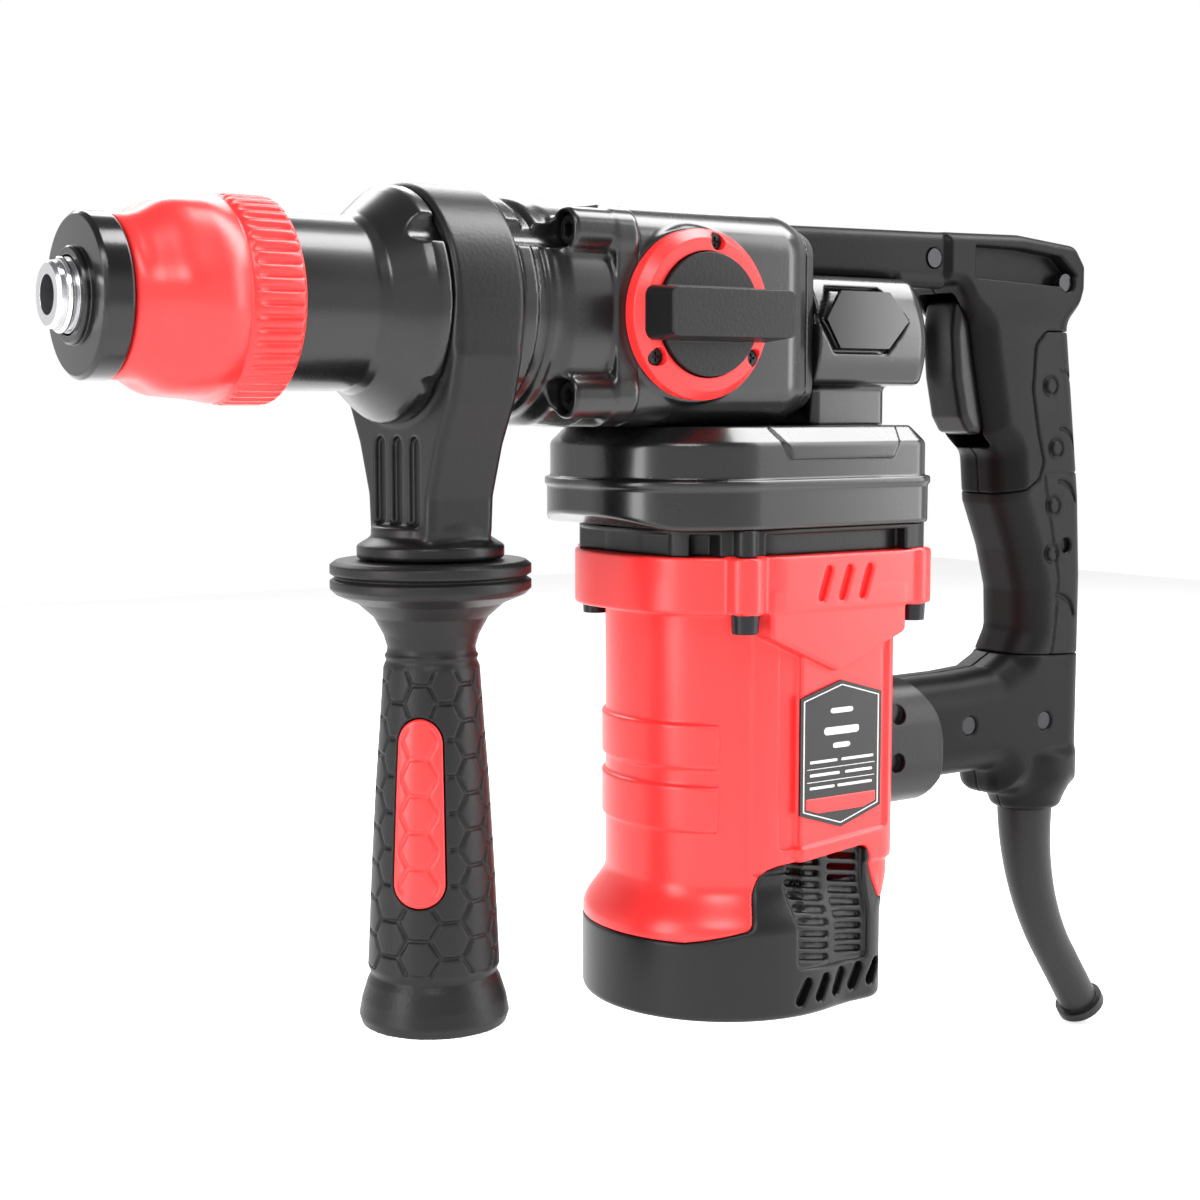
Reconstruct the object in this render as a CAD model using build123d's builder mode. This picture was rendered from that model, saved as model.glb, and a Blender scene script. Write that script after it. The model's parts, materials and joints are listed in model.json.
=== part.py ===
from build123d import *
import os
from math import acos, atan2, cos, hypot, pi, radians, sin, tan

# An L-shaped electric demolition and rotary hammer with an upright motor, in millimetres.
# X runs back from the mouth of the tool holder along the spindle. Z is up. Y = 0 is the middle plane.

# ---- Driving dimensions --------------------------------------------------------------------------
BORE_R = 5.0  # for a 10 mm slotted shank
SHANK_DEPTH = 40.0
RUN = 0.05  # radial running clearance
GAP = 0.4  # free gap between parts that move past each other
WALL = 3.0

BARREL_R = 13.0
BARREL_END = 160.0
CYLINDER_R = 11.0
SLEEVE_X0, SLEEVE_X1 = 15.4, 57.6
SLEEVE_R = 27.0
SLEEVE_SHOULDER = 35.0
KNURL_X0 = 44.5
NECK_X0, NECK_R = 57.0, 23.2
FLARE_R = 32.0
CLAMP_X0, CLAMP_X1 = 96.5, 118.5
CLAMP_X = (CLAMP_X0 + CLAMP_X1) / 2
SEAT_R = 29.5

MODULE = 1.0
PINION_TEETH, CRANK_TEETH, IDLER_TEETH = 12, 48, 24
BEVEL_PINION_TEETH, BEVEL_RING_TEETH = 12, 36
BEVEL_RING_R = 20.0
PRESSURE = radians(25)
MOTOR_X = 211.0
CRANK_X = MOTOR_X - MODULE * (PINION_TEETH + CRANK_TEETH) / 2
IDLER_X = CRANK_X - MODULE * (CRANK_TEETH + IDLER_TEETH) / 2
GEAR_Z0, GEAR_Z1 = -29.5, -24.5
CRANK_THROW = 11.0
CONROD_LENGTH = 31.0
PIN_X = CRANK_X - CRANK_THROW  # crank pin at its front dead centre
WRIST_X = PIN_X - CONROD_LENGTH
WEB_TOP = -11.2

SEAM_X = 155.5  # joint between the cylinder cover and the crankcase
CASE_END = 224.0
CASE_HALF = 32.0
CASE_TOP, CASE_FLOOR = 28.5, -33.0
SELECTOR_X, SELECTOR_Z = 174.8, -1.8

GEARCASE_X0, GEARCASE_X1, GEARCASE_HALF = 159.0, 263.0, 42.0
RIDGE_Z = -49.5
GEARCASE_FLOOR = -62.5
VENT_FLOOR = -70.5
COLLAR_Z = -87.0  # underside of the motor housing's collar
CAP_TOP, BASE_Z = -184.0, -207.5
MOTOR_R, BASE_R = 36.0, 43.0
SIDE_HALF = 38.0  # flat sides of the motor housing
REAR_X = 250.0
FLARE_Z0, FLARE_Z1 = -168.0, -182.0  # where the motor housing flares to its base

GUARD_X = 347.0  # where the cord guard leaves the handle
HANDLE_HALF = 15.0
PIVOT_X, PIVOT_Z = 322.0, 5.0
TRIGGER_HALF = 8.0
GUARD_BORE = 4.0

SIDE_GRIP_BOTTOM = -200.5
ROD_R = 4.0

os.makedirs("parts", exist_ok=True)


# ---- Helpers -------------------------------------------------------------------------------------
def save(piece, name):
    """Labels a finished piece and writes it to its own file."""
    piece.part.label = name
    export_step(piece.part, f"parts/{name}.step")


def lathe(*points, mode=Mode.ADD):
    """Turns an outline of (x, radius) points about the spindle axis, inside the open part."""
    with BuildSketch(Plane.XZ) as sketch:
        with BuildLine():
            Polyline(*points, close=True)
        make_face()
    revolve(sketch.sketch, axis=Axis.X, mode=mode)


def upright_lathe(x, *points, mode=Mode.ADD):
    """Turns an outline of (radius, z) points about the upright axis at x, inside the open part."""
    with BuildSketch(Plane(origin=(x, 0, 0), x_dir=(1, 0, 0), z_dir=(0, -1, 0))) as sketch:
        with BuildLine():
            Polyline(*points, close=True)
        make_face()
    revolve(sketch.sketch, axis=Axis((x, 0, 0), (0, 0, 1)), mode=mode)


def side_outline(points, rounding=0.0):
    """An outline of (x, z) points on the middle plane."""
    with BuildSketch(Plane.XZ) as sketch:
        with BuildLine():
            Polyline(*points, close=True)
        make_face()
        if rounding:
            fillet(sketch.vertices(), rounding)
    return sketch.sketch


def round_at(places, radius, z0, z1, mode=Mode.ADD):
    """Upright round bars, bosses or holes at (x, y) places, inside the open part."""
    with BuildSketch(Plane.XY.offset(z0)) as sketch:
        with Locations(*places):
            Circle(radius)
    extrude(sketch.sketch, amount=z1 - z0, mode=mode)


def round_along(places, radius, x0, x1, mode=Mode.ADD):
    """Round bars, bosses or holes along X at (y, z) places, inside the open part."""
    with BuildSketch(Plane.YZ.offset(x0)) as sketch:
        with Locations(*places):
            Circle(radius)
    extrude(sketch.sketch, amount=x1 - x0, mode=mode)


def round_across(places, radius, y0, y1, mode=Mode.ADD):
    """Round bars, bosses or holes along Y at (x, z) places, inside the open part."""
    with BuildSketch(Plane.XZ.offset(-y0)) as sketch:
        with Locations(*places):
            Circle(radius)
    extrude(sketch.sketch, amount=y0 - y1, mode=mode)


def block(low, high, mode=Mode.ADD):
    """A box between two corners, inside the open part."""
    size = [b - a for a, b in zip(low, high)]
    with Locations(tuple((a + b) / 2 for a, b in zip(low, high))):
        Box(*size, mode=mode)


def bearing(name, places, axis):
    """Ball bearings, each an inner ring, an outer ring and balls. A place is centre, radii and width."""
    with BuildPart() as part:
        for centre, inner, outer, width in places:
            base = Plane(origin=centre, z_dir=axis)
            ring = (outer - inner) * 0.3
            for low, high in ((inner, inner + ring), (outer - ring, outer)):
                with BuildSketch(base):
                    Circle(high)
                    Circle(low, mode=Mode.SUBTRACT)
                extrude(amount=width)
            with Locations(base.offset(width / 2)):
                with PolarLocations((inner + outer) / 2, 9):
                    Sphere((outer - inner) / 2 - ring - 0.02)
    save(part, name)


def coil(x0, x1, z, radius, wire_r, turns):
    """A coil spring along X between two faces, inside the open part."""
    low, high = x0 + wire_r + 0.1, x1 - wire_r - 0.1
    helix = Helix((high - low) / turns, high - low, radius, center=(low, 0, z), direction=(1, 0, 0))
    with BuildSketch(Plane(origin=helix @ 0, z_dir=helix % 0)) as wire:
        Circle(wire_r)
    sweep(wire.sketch, path=helix)


def socket_screws(name, places, head_r, head_h, shank_r, shank_l):
    """Socket-head screws as one group. A place is the plane under the head, its normal pointing out."""
    with BuildPart() as part:
        for base in places:
            with BuildSketch(base):
                Circle(head_r)
            extrude(amount=head_h, taper=3)
            with BuildSketch(base.offset(head_h * 0.45)):
                RegularPolygon(head_r * 0.55, 6)
            extrude(amount=head_h, mode=Mode.SUBTRACT)
            with BuildSketch(base):
                Circle(shank_r)
            extrude(amount=-shank_l)
    save(part, name)


def gear_outline(teeth, phase):
    """Points round a spur gear with involute flanks, the first tooth centred at the phase angle."""
    pitch_r = MODULE * teeth / 2
    base_r = pitch_r * cos(PRESSURE)
    root_r = pitch_r - 1.25 * MODULE
    thin = 0.14  # backlash taken off each tooth's thickness

    def involute(radius):
        angle = acos(min(1.0, base_r / radius))
        return tan(angle) - angle

    def half_angle(radius):
        return (pi * MODULE / 2 - thin) / 2 / pitch_r + involute(pitch_r) - involute(radius)

    start = max(root_r, base_r)
    steps = [start + (pitch_r + MODULE - start) * i / 3 for i in range(4)]
    flank = [(root_r, half_angle(start) + 0.25 / teeth)] + [(radius, half_angle(radius)) for radius in steps]
    points = []
    for tooth in range(teeth):
        middle = phase + 2 * pi * tooth / teeth
        sides = [(r, middle - a) for r, a in flank] + [(r, middle + a) for r, a in reversed(flank)]
        points += [(r * cos(angle), r * sin(angle)) for r, angle in sides]
    return points


def spur_gear(x, teeth, phase, z0, z1):
    """An upright spur gear at x, inside the open part."""
    with BuildSketch(Plane(origin=(x, 0, z0))) as sketch:
        with BuildLine():
            Polyline(*gear_outline(teeth, phase), close=True)
        make_face()
    extrude(sketch.sketch, amount=z1 - z0)


BEVEL_PINION_R = BEVEL_RING_R * BEVEL_PINION_TEETH / BEVEL_RING_TEETH
BEVEL_MODULE = 2 * BEVEL_RING_R / BEVEL_RING_TEETH
BEVEL_CONE = hypot(BEVEL_RING_R, BEVEL_PINION_R)
BEVEL_FACE = 6.0


def bevel_tooth(base, pitch_angle):
    """One straight bevel tooth. The plane stands at the apex, its normal along the gear's axis."""
    outward = base.x_dir * sin(pitch_angle) + base.z_dir * cos(pitch_angle)
    rise = base.x_dir * cos(pitch_angle) - base.z_dir * sin(pitch_angle)
    across = rise.cross(outward)
    sections = []
    for distance in (BEVEL_CONE, BEVEL_CONE - BEVEL_FACE):
        scale = distance / BEVEL_CONE * BEVEL_MODULE
        with BuildSketch(Plane(base.origin + outward * distance, x_dir=across, z_dir=outward)) as sketch:
            with BuildLine():
                Polyline((-1.03 * scale, -1.5 * scale), (-0.36 * scale, 0.9 * scale),
                         (0.36 * scale, 0.9 * scale), (1.03 * scale, -1.5 * scale), close=True)
            make_face()
        sections.append(sketch.sketch)
    loft(sections, ruled=True)


# ---- Cylinder cover, crankcase and the castings below ------------------------------------------------
with BuildPart() as cylinder_cover:
    lathe((NECK_X0, 0), (NECK_X0, NECK_R - 0.6), (NECK_X0 + 0.6, NECK_R), (81.0, NECK_R), (83.0, NECK_R + 0.9),
          (90.4, FLARE_R - 1.6), (92.4, FLARE_R), (CLAMP_X0 - 0.4, FLARE_R), (CLAMP_X0, FLARE_R - 0.4),
          (CLAMP_X0, SEAT_R), (CLAMP_X1, SEAT_R), (CLAMP_X1, 31.5), (123.5, 31.5), (124.2, 29.6),
          (127.0, 29.6), (127.6, 31.0), (132.0, 31.0), (132.0, 0))
    with BuildSketch(Plane.YZ.offset(131.0)):
        with Locations((0, (CASE_TOP + CASE_FLOOR) / 2)):
            RectangleRounded(62, CASE_TOP - CASE_FLOOR - 0.4, 28)
    extrude(amount=SEAM_X - 131.0)
    with BuildSketch(Plane.YZ.offset(SEAM_X - 6.0)):
        with Locations((0, (CASE_TOP + CASE_FLOOR) / 2)):
            RectangleRounded(2 * CASE_HALF, CASE_TOP - CASE_FLOOR, 11)
    extrude(amount=6.0)
    BOLT_YZ = [(y, z) for y in (-26.5, 26.5) for z in (-24.5, 20.5)]
    BOLT_SEAT_X = 141.0
    round_along(BOLT_YZ, 5.4, 138.0, SEAM_X)
    lathe((NECK_X0 - 1, 0), (NECK_X0 - 1, 17.5), (61.8, 17.5), (61.8, 19.0), (73.0, 19.0), (73.0, 16.0),
          (77.0, 16.0), (77.0, 18.5), (84.0, 20.0), (92.0, 25.5), (SEAM_X + 1, 25.5), (SEAM_X + 1, 0),
          mode=Mode.SUBTRACT)
    with BuildSketch(Plane.XY.offset(-30.4)):
        with Locations((IDLER_X, 0)):
            Circle(14.2)
        with Locations((IDLER_X + 10, 0)):
            Rectangle(20, 28.4)
    extrude(amount=30.4, mode=Mode.SUBTRACT)
    with BuildSketch(Plane(origin=(IDLER_X, 0, -30.4))):
        Circle(3.5)
    extrude(amount=-1.6, mode=Mode.SUBTRACT)
    round_along(BOLT_YZ, 4.7, 124.5, BOLT_SEAT_X, mode=Mode.SUBTRACT)
    round_along(BOLT_YZ, 2.5, BOLT_SEAT_X - 1, SEAM_X + 1, mode=Mode.SUBTRACT)
    with BuildSketch(Plane.XZ.offset(-40)):
        with Locations((143.0, 0)):
            SlotOverall(9.0, 3.0, rotation=90)
    extrude(amount=12.0, mode=Mode.SUBTRACT)
save(cylinder_cover, "cylinder_cover")

with BuildPart() as crankcase:
    with BuildSketch(Plane.YZ.offset(SEAM_X)):
        with Locations((0, (CASE_TOP + CASE_FLOOR) / 2)):
            RectangleRounded(2 * CASE_HALF, CASE_TOP - CASE_FLOOR, 11)
    extrude(amount=CASE_END - SEAM_X)
    chamfer(crankcase.faces().sort_by(Axis.X)[-1].edges(), 4.0)
    with BuildSketch(Plane.YZ.offset(SEAM_X - 1)):
        with Locations((0, (CASE_TOP + CASE_FLOOR) / 2)):
            RectangleRounded(2 * CASE_HALF - 2 * WALL, CASE_TOP - CASE_FLOOR - 4.0, 6)
    extrude(amount=CASE_END - SEAM_X - WALL - 2, mode=Mode.SUBTRACT)
    with BuildSketch(Plane.YZ.offset(SEAM_X)):
        with Locations(*BOLT_YZ):
            Circle(4.5)
    extrude(amount=9.0)
    with BuildSketch(Plane.YZ.offset(SEAM_X)):
        with Locations(*BOLT_YZ):
            Circle(2.5)
    extrude(amount=8.0, mode=Mode.SUBTRACT)
    with BuildSketch(Plane.XY.offset(CASE_FLOOR - 1)):
        with Locations((CRANK_X, 0)):
            Circle(8.0)
        with Locations((MOTOR_X, 0)):
            Circle(9.0)
    extrude(amount=5.0, mode=Mode.SUBTRACT)
    with BuildSketch(Plane.XZ.offset(CASE_HALF)):
        with Locations((SELECTOR_X, SELECTOR_Z)):
            Circle(9.0)
    extrude(amount=-5.0)
    with BuildSketch(Plane.XZ.offset(CASE_HALF + 1)):
        with Locations((SELECTOR_X, SELECTOR_Z)):
            Circle(5.0 + RUN)
    extrude(amount=-10.0, mode=Mode.SUBTRACT)
save(crankcase, "crankcase")

with BuildPart() as bearing_plate:
    lathe((BARREL_END - 6.5, 18.0), (BARREL_END - 6.5, 25.4), (SEAM_X, 25.4), (SEAM_X, 26.4),
          (BARREL_END, 26.4), (BARREL_END, 18.0))
    with BuildSketch(Plane.XY.offset(-40)):
        with Locations((BARREL_END - 3, 0)):
            Rectangle(20, 70)
    extrude(amount=40 + GEAR_Z1 + 1.5, mode=Mode.SUBTRACT)
save(bearing_plate, "bearing_plate")

socket_screws("cover_bolts", [Plane(origin=(BOLT_SEAT_X, y, z), z_dir=(-1, 0, 0)) for y, z in BOLT_YZ],
              4.2, 5.0, 2.5, 21.0)


def gearcase_outline(inset, set_back=0.0):
    """Plan of the gear case: a round front, which may be set back, flat sides and squarer rear corners."""
    front_r = 36.0
    front = GEARCASE_X0 + set_back
    with BuildSketch(Plane.XY) as sketch:
        with Locations(((front + GEARCASE_X1) / 2, 0)):
            Rectangle(GEARCASE_X1 - front, 2 * GEARCASE_HALF)
        corners = sketch.vertices().sort_by(Axis.X)
        fillet(corners[:2], front_r)
        fillet(corners[2:], 9.0)
        if inset:
            offset(amount=-inset, kind=Kind.INTERSECTION)
    return sketch.sketch


def gearcase_tier(inset):
    """The upper tier of the gear case, above its ridge, inside the open part."""
    with BuildSketch(Plane.XY.offset(RIDGE_Z + 1.2)) as plan:
        add(gearcase_outline(inset))
    extrude(plan.sketch, amount=CASE_FLOOR - RIDGE_Z - 1.2)


with BuildPart() as side_panels:
    gearcase_tier(0.8)
    chamfer(side_panels.faces().sort_by(Axis.Z)[-1].edges(), 5.0)
    extrude(side_outline([(204, -42.5), (198, CASE_FLOOR), (249, CASE_FLOOR), (244, -42.5)]), amount=60,
            both=True, mode=Mode.INTERSECT)
    block((190, 20 - GEARCASE_HALF, -60), (260, GEARCASE_HALF - 20, 0), mode=Mode.SUBTRACT)

GEARBOX_TOP = -39.0
with BuildPart() as gearcase:
    gearcase_tier(1.6)
    chamfer(gearcase.faces().sort_by(Axis.Z)[-1].edges(), 5.0)
    with BuildSketch(Plane.XY.offset(RIDGE_Z - 1.2)):
        add(gearcase_outline(0))
    extrude(amount=2.4)
    with BuildSketch(Plane.XY.offset(GEARCASE_FLOOR)):
        add(gearcase_outline(0.6))
    extrude(amount=RIDGE_Z - 1.2 - GEARCASE_FLOOR)
    extrude(side_outline([(150, -55.5), (150, -64), (173, -64)]), amount=50, both=True, mode=Mode.SUBTRACT)
    with BuildSketch(Plane.XY.offset(GEARCASE_FLOOR - 1)):
        add(gearcase_outline(6.5, 12.0))
    extrude(amount=GEARBOX_TOP - GEARCASE_FLOOR + 1, mode=Mode.SUBTRACT)
    with BuildSketch(Plane.XY.offset(-60.5)):
        with Locations((CRANK_X, 0)):
            Circle(16.0)
        with Locations((MOTOR_X, 0)):
            Circle(14.0)
        with Locations((196, 0)):
            Rectangle(20, 8)
    extrude(amount=60.5 - 38.0)
    with BuildSketch(Plane.XY.offset(-61)):
        with Locations((CRANK_X, 0)):
            Circle(13.0)
    extrude(amount=61 - 35.5, mode=Mode.SUBTRACT)
    with BuildSketch(Plane.XY.offset(-61)):
        with Locations((MOTOR_X, 0)):
            Circle(11.0)
    extrude(amount=11.5, mode=Mode.SUBTRACT)
    with BuildSketch(Plane.XY.offset(-61)):
        with Locations((MOTOR_X, 0)):
            Circle(9.0)
        with Locations((CRANK_X, 0)):
            Circle(8.0)
    extrude(amount=40, mode=Mode.SUBTRACT)
    COLLAR_BOLTS = [(189.6, -37.6), (189.6, 37.6), (256.5, -36.0), (256.5, 36.0)]
    with BuildSketch(Plane.XY.offset(GEARCASE_FLOOR)):
        with Locations(*COLLAR_BOLTS):
            Circle(3.6)
    extrude(amount=18.0)
    with BuildSketch(Plane.XY.offset(GEARCASE_FLOOR - 1)):
        with Locations(*COLLAR_BOLTS):
            Circle(2.0)
    extrude(amount=11.0, mode=Mode.SUBTRACT)
    add(side_panels.part)
save(gearcase, "gearcase")


VENT_BACK = 8.0  # how far the front of the vents and the motor's collar stands behind the gear case's
with BuildPart() as vent_ring:
    with BuildSketch(Plane.XY.offset(VENT_FLOOR)):
        add(gearcase_outline(2.0, VENT_BACK))
    extrude(amount=GEARCASE_FLOOR - VENT_FLOOR)
    with BuildSketch(Plane.XY.offset(VENT_FLOOR - 1)):
        add(gearcase_outline(5.0, VENT_BACK))
    extrude(amount=GEARCASE_FLOOR - VENT_FLOOR - 0.5, mode=Mode.SUBTRACT)
    with BuildSketch(Plane.XY.offset(VENT_FLOOR - 1)):
        with Locations((MOTOR_X, 0)):
            Circle(22.0)
    extrude(amount=20.0, mode=Mode.SUBTRACT)
    for x0, x1 in ((163, 173.5), (177, 183.5), (196, 250)):
        block((x0, -GEARCASE_HALF - 1, VENT_FLOOR - 1), (x1, GEARCASE_HALF + 1, GEARCASE_FLOOR - 1.5),
              mode=Mode.SUBTRACT)
    with BuildSketch(Plane.XY.offset(VENT_FLOOR)):
        with Locations(*COLLAR_BOLTS):
            Circle(3.6)
    extrude(amount=GEARCASE_FLOOR - VENT_FLOOR)
    with BuildSketch(Plane.XY.offset(VENT_FLOOR - 1)):
        with Locations(*COLLAR_BOLTS):
            Circle(2.1)
    extrude(amount=12.0, mode=Mode.SUBTRACT)
save(vent_ring, "vent_ring")


# ---- Motor housing and its end cap ---------------------------------------------------------------
def motor_outline(front_r, half, rear, plane):
    """Plan of the motor housing: a round front and flat sides."""
    with BuildSketch(plane) as sketch:
        with Locations((MOTOR_X, 0)):
            Circle(front_r)
        with Locations(((MOTOR_X + rear) / 2, 0)):
            Rectangle(rear - MOTOR_X, 2 * half)
        fillet(sketch.vertices().sort_by(Axis.X)[-2:], 7.0)
    return sketch.sketch


CAP_EDGE = [(140, CAP_TOP), (177, CAP_TOP), (192.5, -180), (199.5, -164), (202.5, -162.8), (236.5, -159.5),
            (241, -177), (280, -177), (280, BASE_Z - 10), (140, BASE_Z - 10)]
BASE_REAR = 245.0

with BuildPart() as motor_shell:
    extrude(motor_outline(MOTOR_R, SIDE_HALF, REAR_X, Plane.XY.offset(FLARE_Z0)), amount=COLLAR_Z - FLARE_Z0)
    loft([motor_outline(MOTOR_R, SIDE_HALF, REAR_X, Plane.XY.offset(FLARE_Z0)),
          motor_outline(BASE_R, SIDE_HALF + 2.5, BASE_REAR, Plane.XY.offset(FLARE_Z1))])
    extrude(motor_outline(BASE_R, SIDE_HALF + 2.5, BASE_REAR, Plane.XY.offset(FLARE_Z1)),
            amount=BASE_Z - FLARE_Z1)
    fillet(motor_shell.faces().sort_by(Axis.Z)[0].edges(), 2.0)
    extrude(motor_outline(MOTOR_R - WALL, SIDE_HALF - WALL, BASE_REAR - WALL, Plane.XY.offset(COLLAR_Z + 1)),
            amount=BASE_Z + WALL + 1 - COLLAR_Z - 1, mode=Mode.SUBTRACT)

with BuildPart() as motor_housing:
    add(motor_shell.part)
    extrude(side_outline(CAP_EDGE), amount=60, both=True, mode=Mode.SUBTRACT)
    with BuildSketch(Plane.XY.offset(COLLAR_Z)):
        add(gearcase_outline(0.6, VENT_BACK))
    extrude(amount=VENT_FLOOR - COLLAR_Z)
    round_at([(MOTOR_X, 0)], 35.5, COLLAR_Z + 3, VENT_FLOOR + 1, mode=Mode.SUBTRACT)
    round_at([(MOTOR_X, 0)], MOTOR_R - WALL, COLLAR_Z - 1, VENT_FLOOR, mode=Mode.SUBTRACT)
    for side in (-1, 1):
        with BuildSketch(Plane.XZ.offset(-side * (SIDE_HALF - 1))):
            with BuildLine():
                Polyline((196.5, COLLAR_Z + 2), (196.5, -94), (222.5, -105.5), (249.5, -95),
                         (249.5, COLLAR_Z + 2), close=True)
            make_face()
        extrude(amount=-side * 4.2)
        with BuildSketch(Plane.XZ.offset(-side * (GEARCASE_HALF + 2))):
            with Locations((217, -79), (225, -79), (233, -79)):
                SlotOverall(11.0, 2.6, rotation=70)
        extrude(amount=side * 12, mode=Mode.SUBTRACT)
    round_at(COLLAR_BOLTS, 5.5, COLLAR_Z - 10, COLLAR_Z + 0.8, mode=Mode.SUBTRACT)
    round_at(COLLAR_BOLTS, 2.1, COLLAR_Z, VENT_FLOOR + 1, mode=Mode.SUBTRACT)
save(motor_housing, "motor_housing")

with BuildPart() as motor_end_cap:
    add(motor_shell.part)
    extrude(side_outline(CAP_EDGE), amount=60, both=True, mode=Mode.INTERSECT)
    upright_lathe(MOTOR_X, (0, BASE_Z + 1), (0, -190.5), (11, -190.5), (11, -181.5), (14, -181.5),
                  (14, BASE_Z + 1))
    for side in (-1, 1):
        with BuildSketch(Plane.XZ.offset(-side * (BASE_R + 2))):
            for row in range(8):
                with Locations((211, -167.5 - 3.0 * row), (227, -166.5 - 3.0 * row)):
                    Rectangle(11.0, 1.3, rotation=-4)
            for column in range(7):
                with Locations((205 + 6.0 * column, -197.0)):
                    SlotOverall(8.0, 2.0, rotation=62)
        extrude(amount=side * 9.0, mode=Mode.SUBTRACT)
save(motor_end_cap, "motor_end_cap")

socket_screws("motor_bolts", [Plane(origin=(x, y, COLLAR_Z + 0.8), z_dir=(0, 0, -1)) for x, y in COLLAR_BOLTS],
              4.2, 6.2, 1.9, 26.0)

# ---- Motor --------------------------------------------------------------------------------------
CORE_Z0, CORE_Z1 = -148.0, -103.0
BRUSH_Z = -168.0

with BuildPart() as stator_core:
    round_at([(MOTOR_X, 0)], MOTOR_R - WALL, CORE_Z0, CORE_Z1)
    round_at([(MOTOR_X, 0)], 21.6, CORE_Z0 - 1, CORE_Z1 + 1, mode=Mode.SUBTRACT)
    for side in (-1, 1):
        block((MOTOR_X - 27, side * 16 - 5, CORE_Z0 - 1), (MOTOR_X + 27, side * 16 + 5, CORE_Z1 + 1),
              mode=Mode.SUBTRACT)
save(stator_core, "stator_core")

with BuildPart() as field_coils:
    for low in (CORE_Z1, CORE_Z0 - 9):
        round_at([(MOTOR_X, 0)], 31.5, low, low + 9)
        round_at([(MOTOR_X, 0)], 24.0, low - 1, low + 10, mode=Mode.SUBTRACT)
    for edge in field_coils.edges().filter_by(GeomType.CIRCLE).group_by(Axis.Z)[-1]:
        fillet(edge, 2.0)
save(field_coils, "field_coils")

with BuildPart() as rotor_shaft:
    upright_lathe(MOTOR_X, (0, -190), (0, -23.4), (4.4, -23.4), (4.4, -31.5), (5, -32), (5, -62), (6, -62),
                  (6, -64), (5.5, -64), (5.5, -181), (5, -181), (5, -190))
    spur_gear(MOTOR_X, PINION_TEETH, pi / PINION_TEETH, GEAR_Z0 - 1.5, GEAR_Z1 + 0.8)
save(rotor_shaft, "rotor_shaft")

with BuildPart() as fan:
    round_at([(MOTOR_X, 0)], 32.0, -80, -78)
    upright_lathe(MOTOR_X, (5.5, -84), (10, -84), (12, -78), (9, -66), (5.5, -66))
    with BuildSketch(Plane.XY.offset(-79)) as blades:
        with Locations((MOTOR_X, 0)):
            with PolarLocations(21.5, 13):
                Rectangle(20.0, 1.4, rotation=32)
        with Locations((MOTOR_X, 0)):
            Circle(31.5, mode=Mode.INTERSECT)
    extrude(blades.sketch, amount=11.5)
    round_at([(MOTOR_X, 0)], 5.5, -90, -60, mode=Mode.SUBTRACT)
save(fan, "fan")

with BuildPart() as rotor_core:
    round_at([(MOTOR_X, 0)], 21.0, CORE_Z0, CORE_Z1)
    with BuildSketch(Plane.XY.offset(CORE_Z0)) as slots:
        with Locations((MOTOR_X, 0)):
            with PolarLocations(19.5, 12):
                Rectangle(4.0, 1.6)
    extrude(slots.sketch, amount=CORE_Z1 - CORE_Z0, mode=Mode.SUBTRACT)
    round_at([(MOTOR_X, 0)], 5.5, CORE_Z0, CORE_Z1, mode=Mode.SUBTRACT)
save(rotor_core, "rotor_core")

with BuildPart() as rotor_windings:
    upright_lathe(MOTOR_X, (5.5, CORE_Z1), (18, CORE_Z1), (17, -95), (9, -92), (5.5, -92))
    upright_lathe(MOTOR_X, (5.5, CORE_Z0), (18, CORE_Z0), (17, -156), (11, -159), (5.5, -159))
save(rotor_windings, "rotor_windings")

with BuildPart() as commutator:
    round_at([(MOTOR_X, 0)], 12.5, -177, -159)
    with BuildSketch(Plane.XY.offset(-177)) as bars:
        with Locations((MOTOR_X, 0)):
            with PolarLocations(12.5, 24):
                Rectangle(1.4, 0.5)
    extrude(bars.sketch, amount=16, mode=Mode.SUBTRACT)
    round_at([(MOTOR_X, 0)], 5.5, -178, -158, mode=Mode.SUBTRACT)
save(commutator, "commutator")

bearing("rotor_bearings", [((MOTOR_X, 0, -58.5), 5.0, 11.0, 9.0), ((MOTOR_X, 0, -190.5), 5.0, 11.0, 9.0)],
        (0, 0, 1))

with BuildPart() as brush_holders:
    for side in (-1, 1):
        block((MOTOR_X - 5.5, side * 23 - 8.5, BRUSH_Z - 4.5), (MOTOR_X + 5.5, side * 23 + 8.5, BRUSH_Z + 4.5))
        block((MOTOR_X - 3.5, side * 21 - 9, BRUSH_Z - 2.5), (MOTOR_X + 3.5, side * 21 + 9, BRUSH_Z + 2.5),
              mode=Mode.SUBTRACT)
save(brush_holders, "brush_holders")

with BuildPart() as carbon_brushes:
    for side in (-1, 1):
        block((MOTOR_X - 3.4, side * 20 - 7, BRUSH_Z - 2.4), (MOTOR_X + 3.4, side * 20 + 7, BRUSH_Z + 2.4))
save(carbon_brushes, "carbon_brushes")

# ---- Crank drive ---------------------------------------------------------------------------------
with BuildPart() as crankshaft:
    upright_lathe(CRANK_X, (0, -58.8), (0, WEB_TOP), (15.4, WEB_TOP), (16, WEB_TOP - 0.6), (16, -17.4),
                  (15.4, -18), (9, -18), (9, GEAR_Z1), (6, GEAR_Z1), (6, -58.3), (5.5, -58.8))
    round_at([(PIN_X, 0)], 4.6, WEB_TOP - 0.8, WEB_TOP + 1, mode=Mode.SUBTRACT)
save(crankshaft, "crankshaft")

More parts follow.
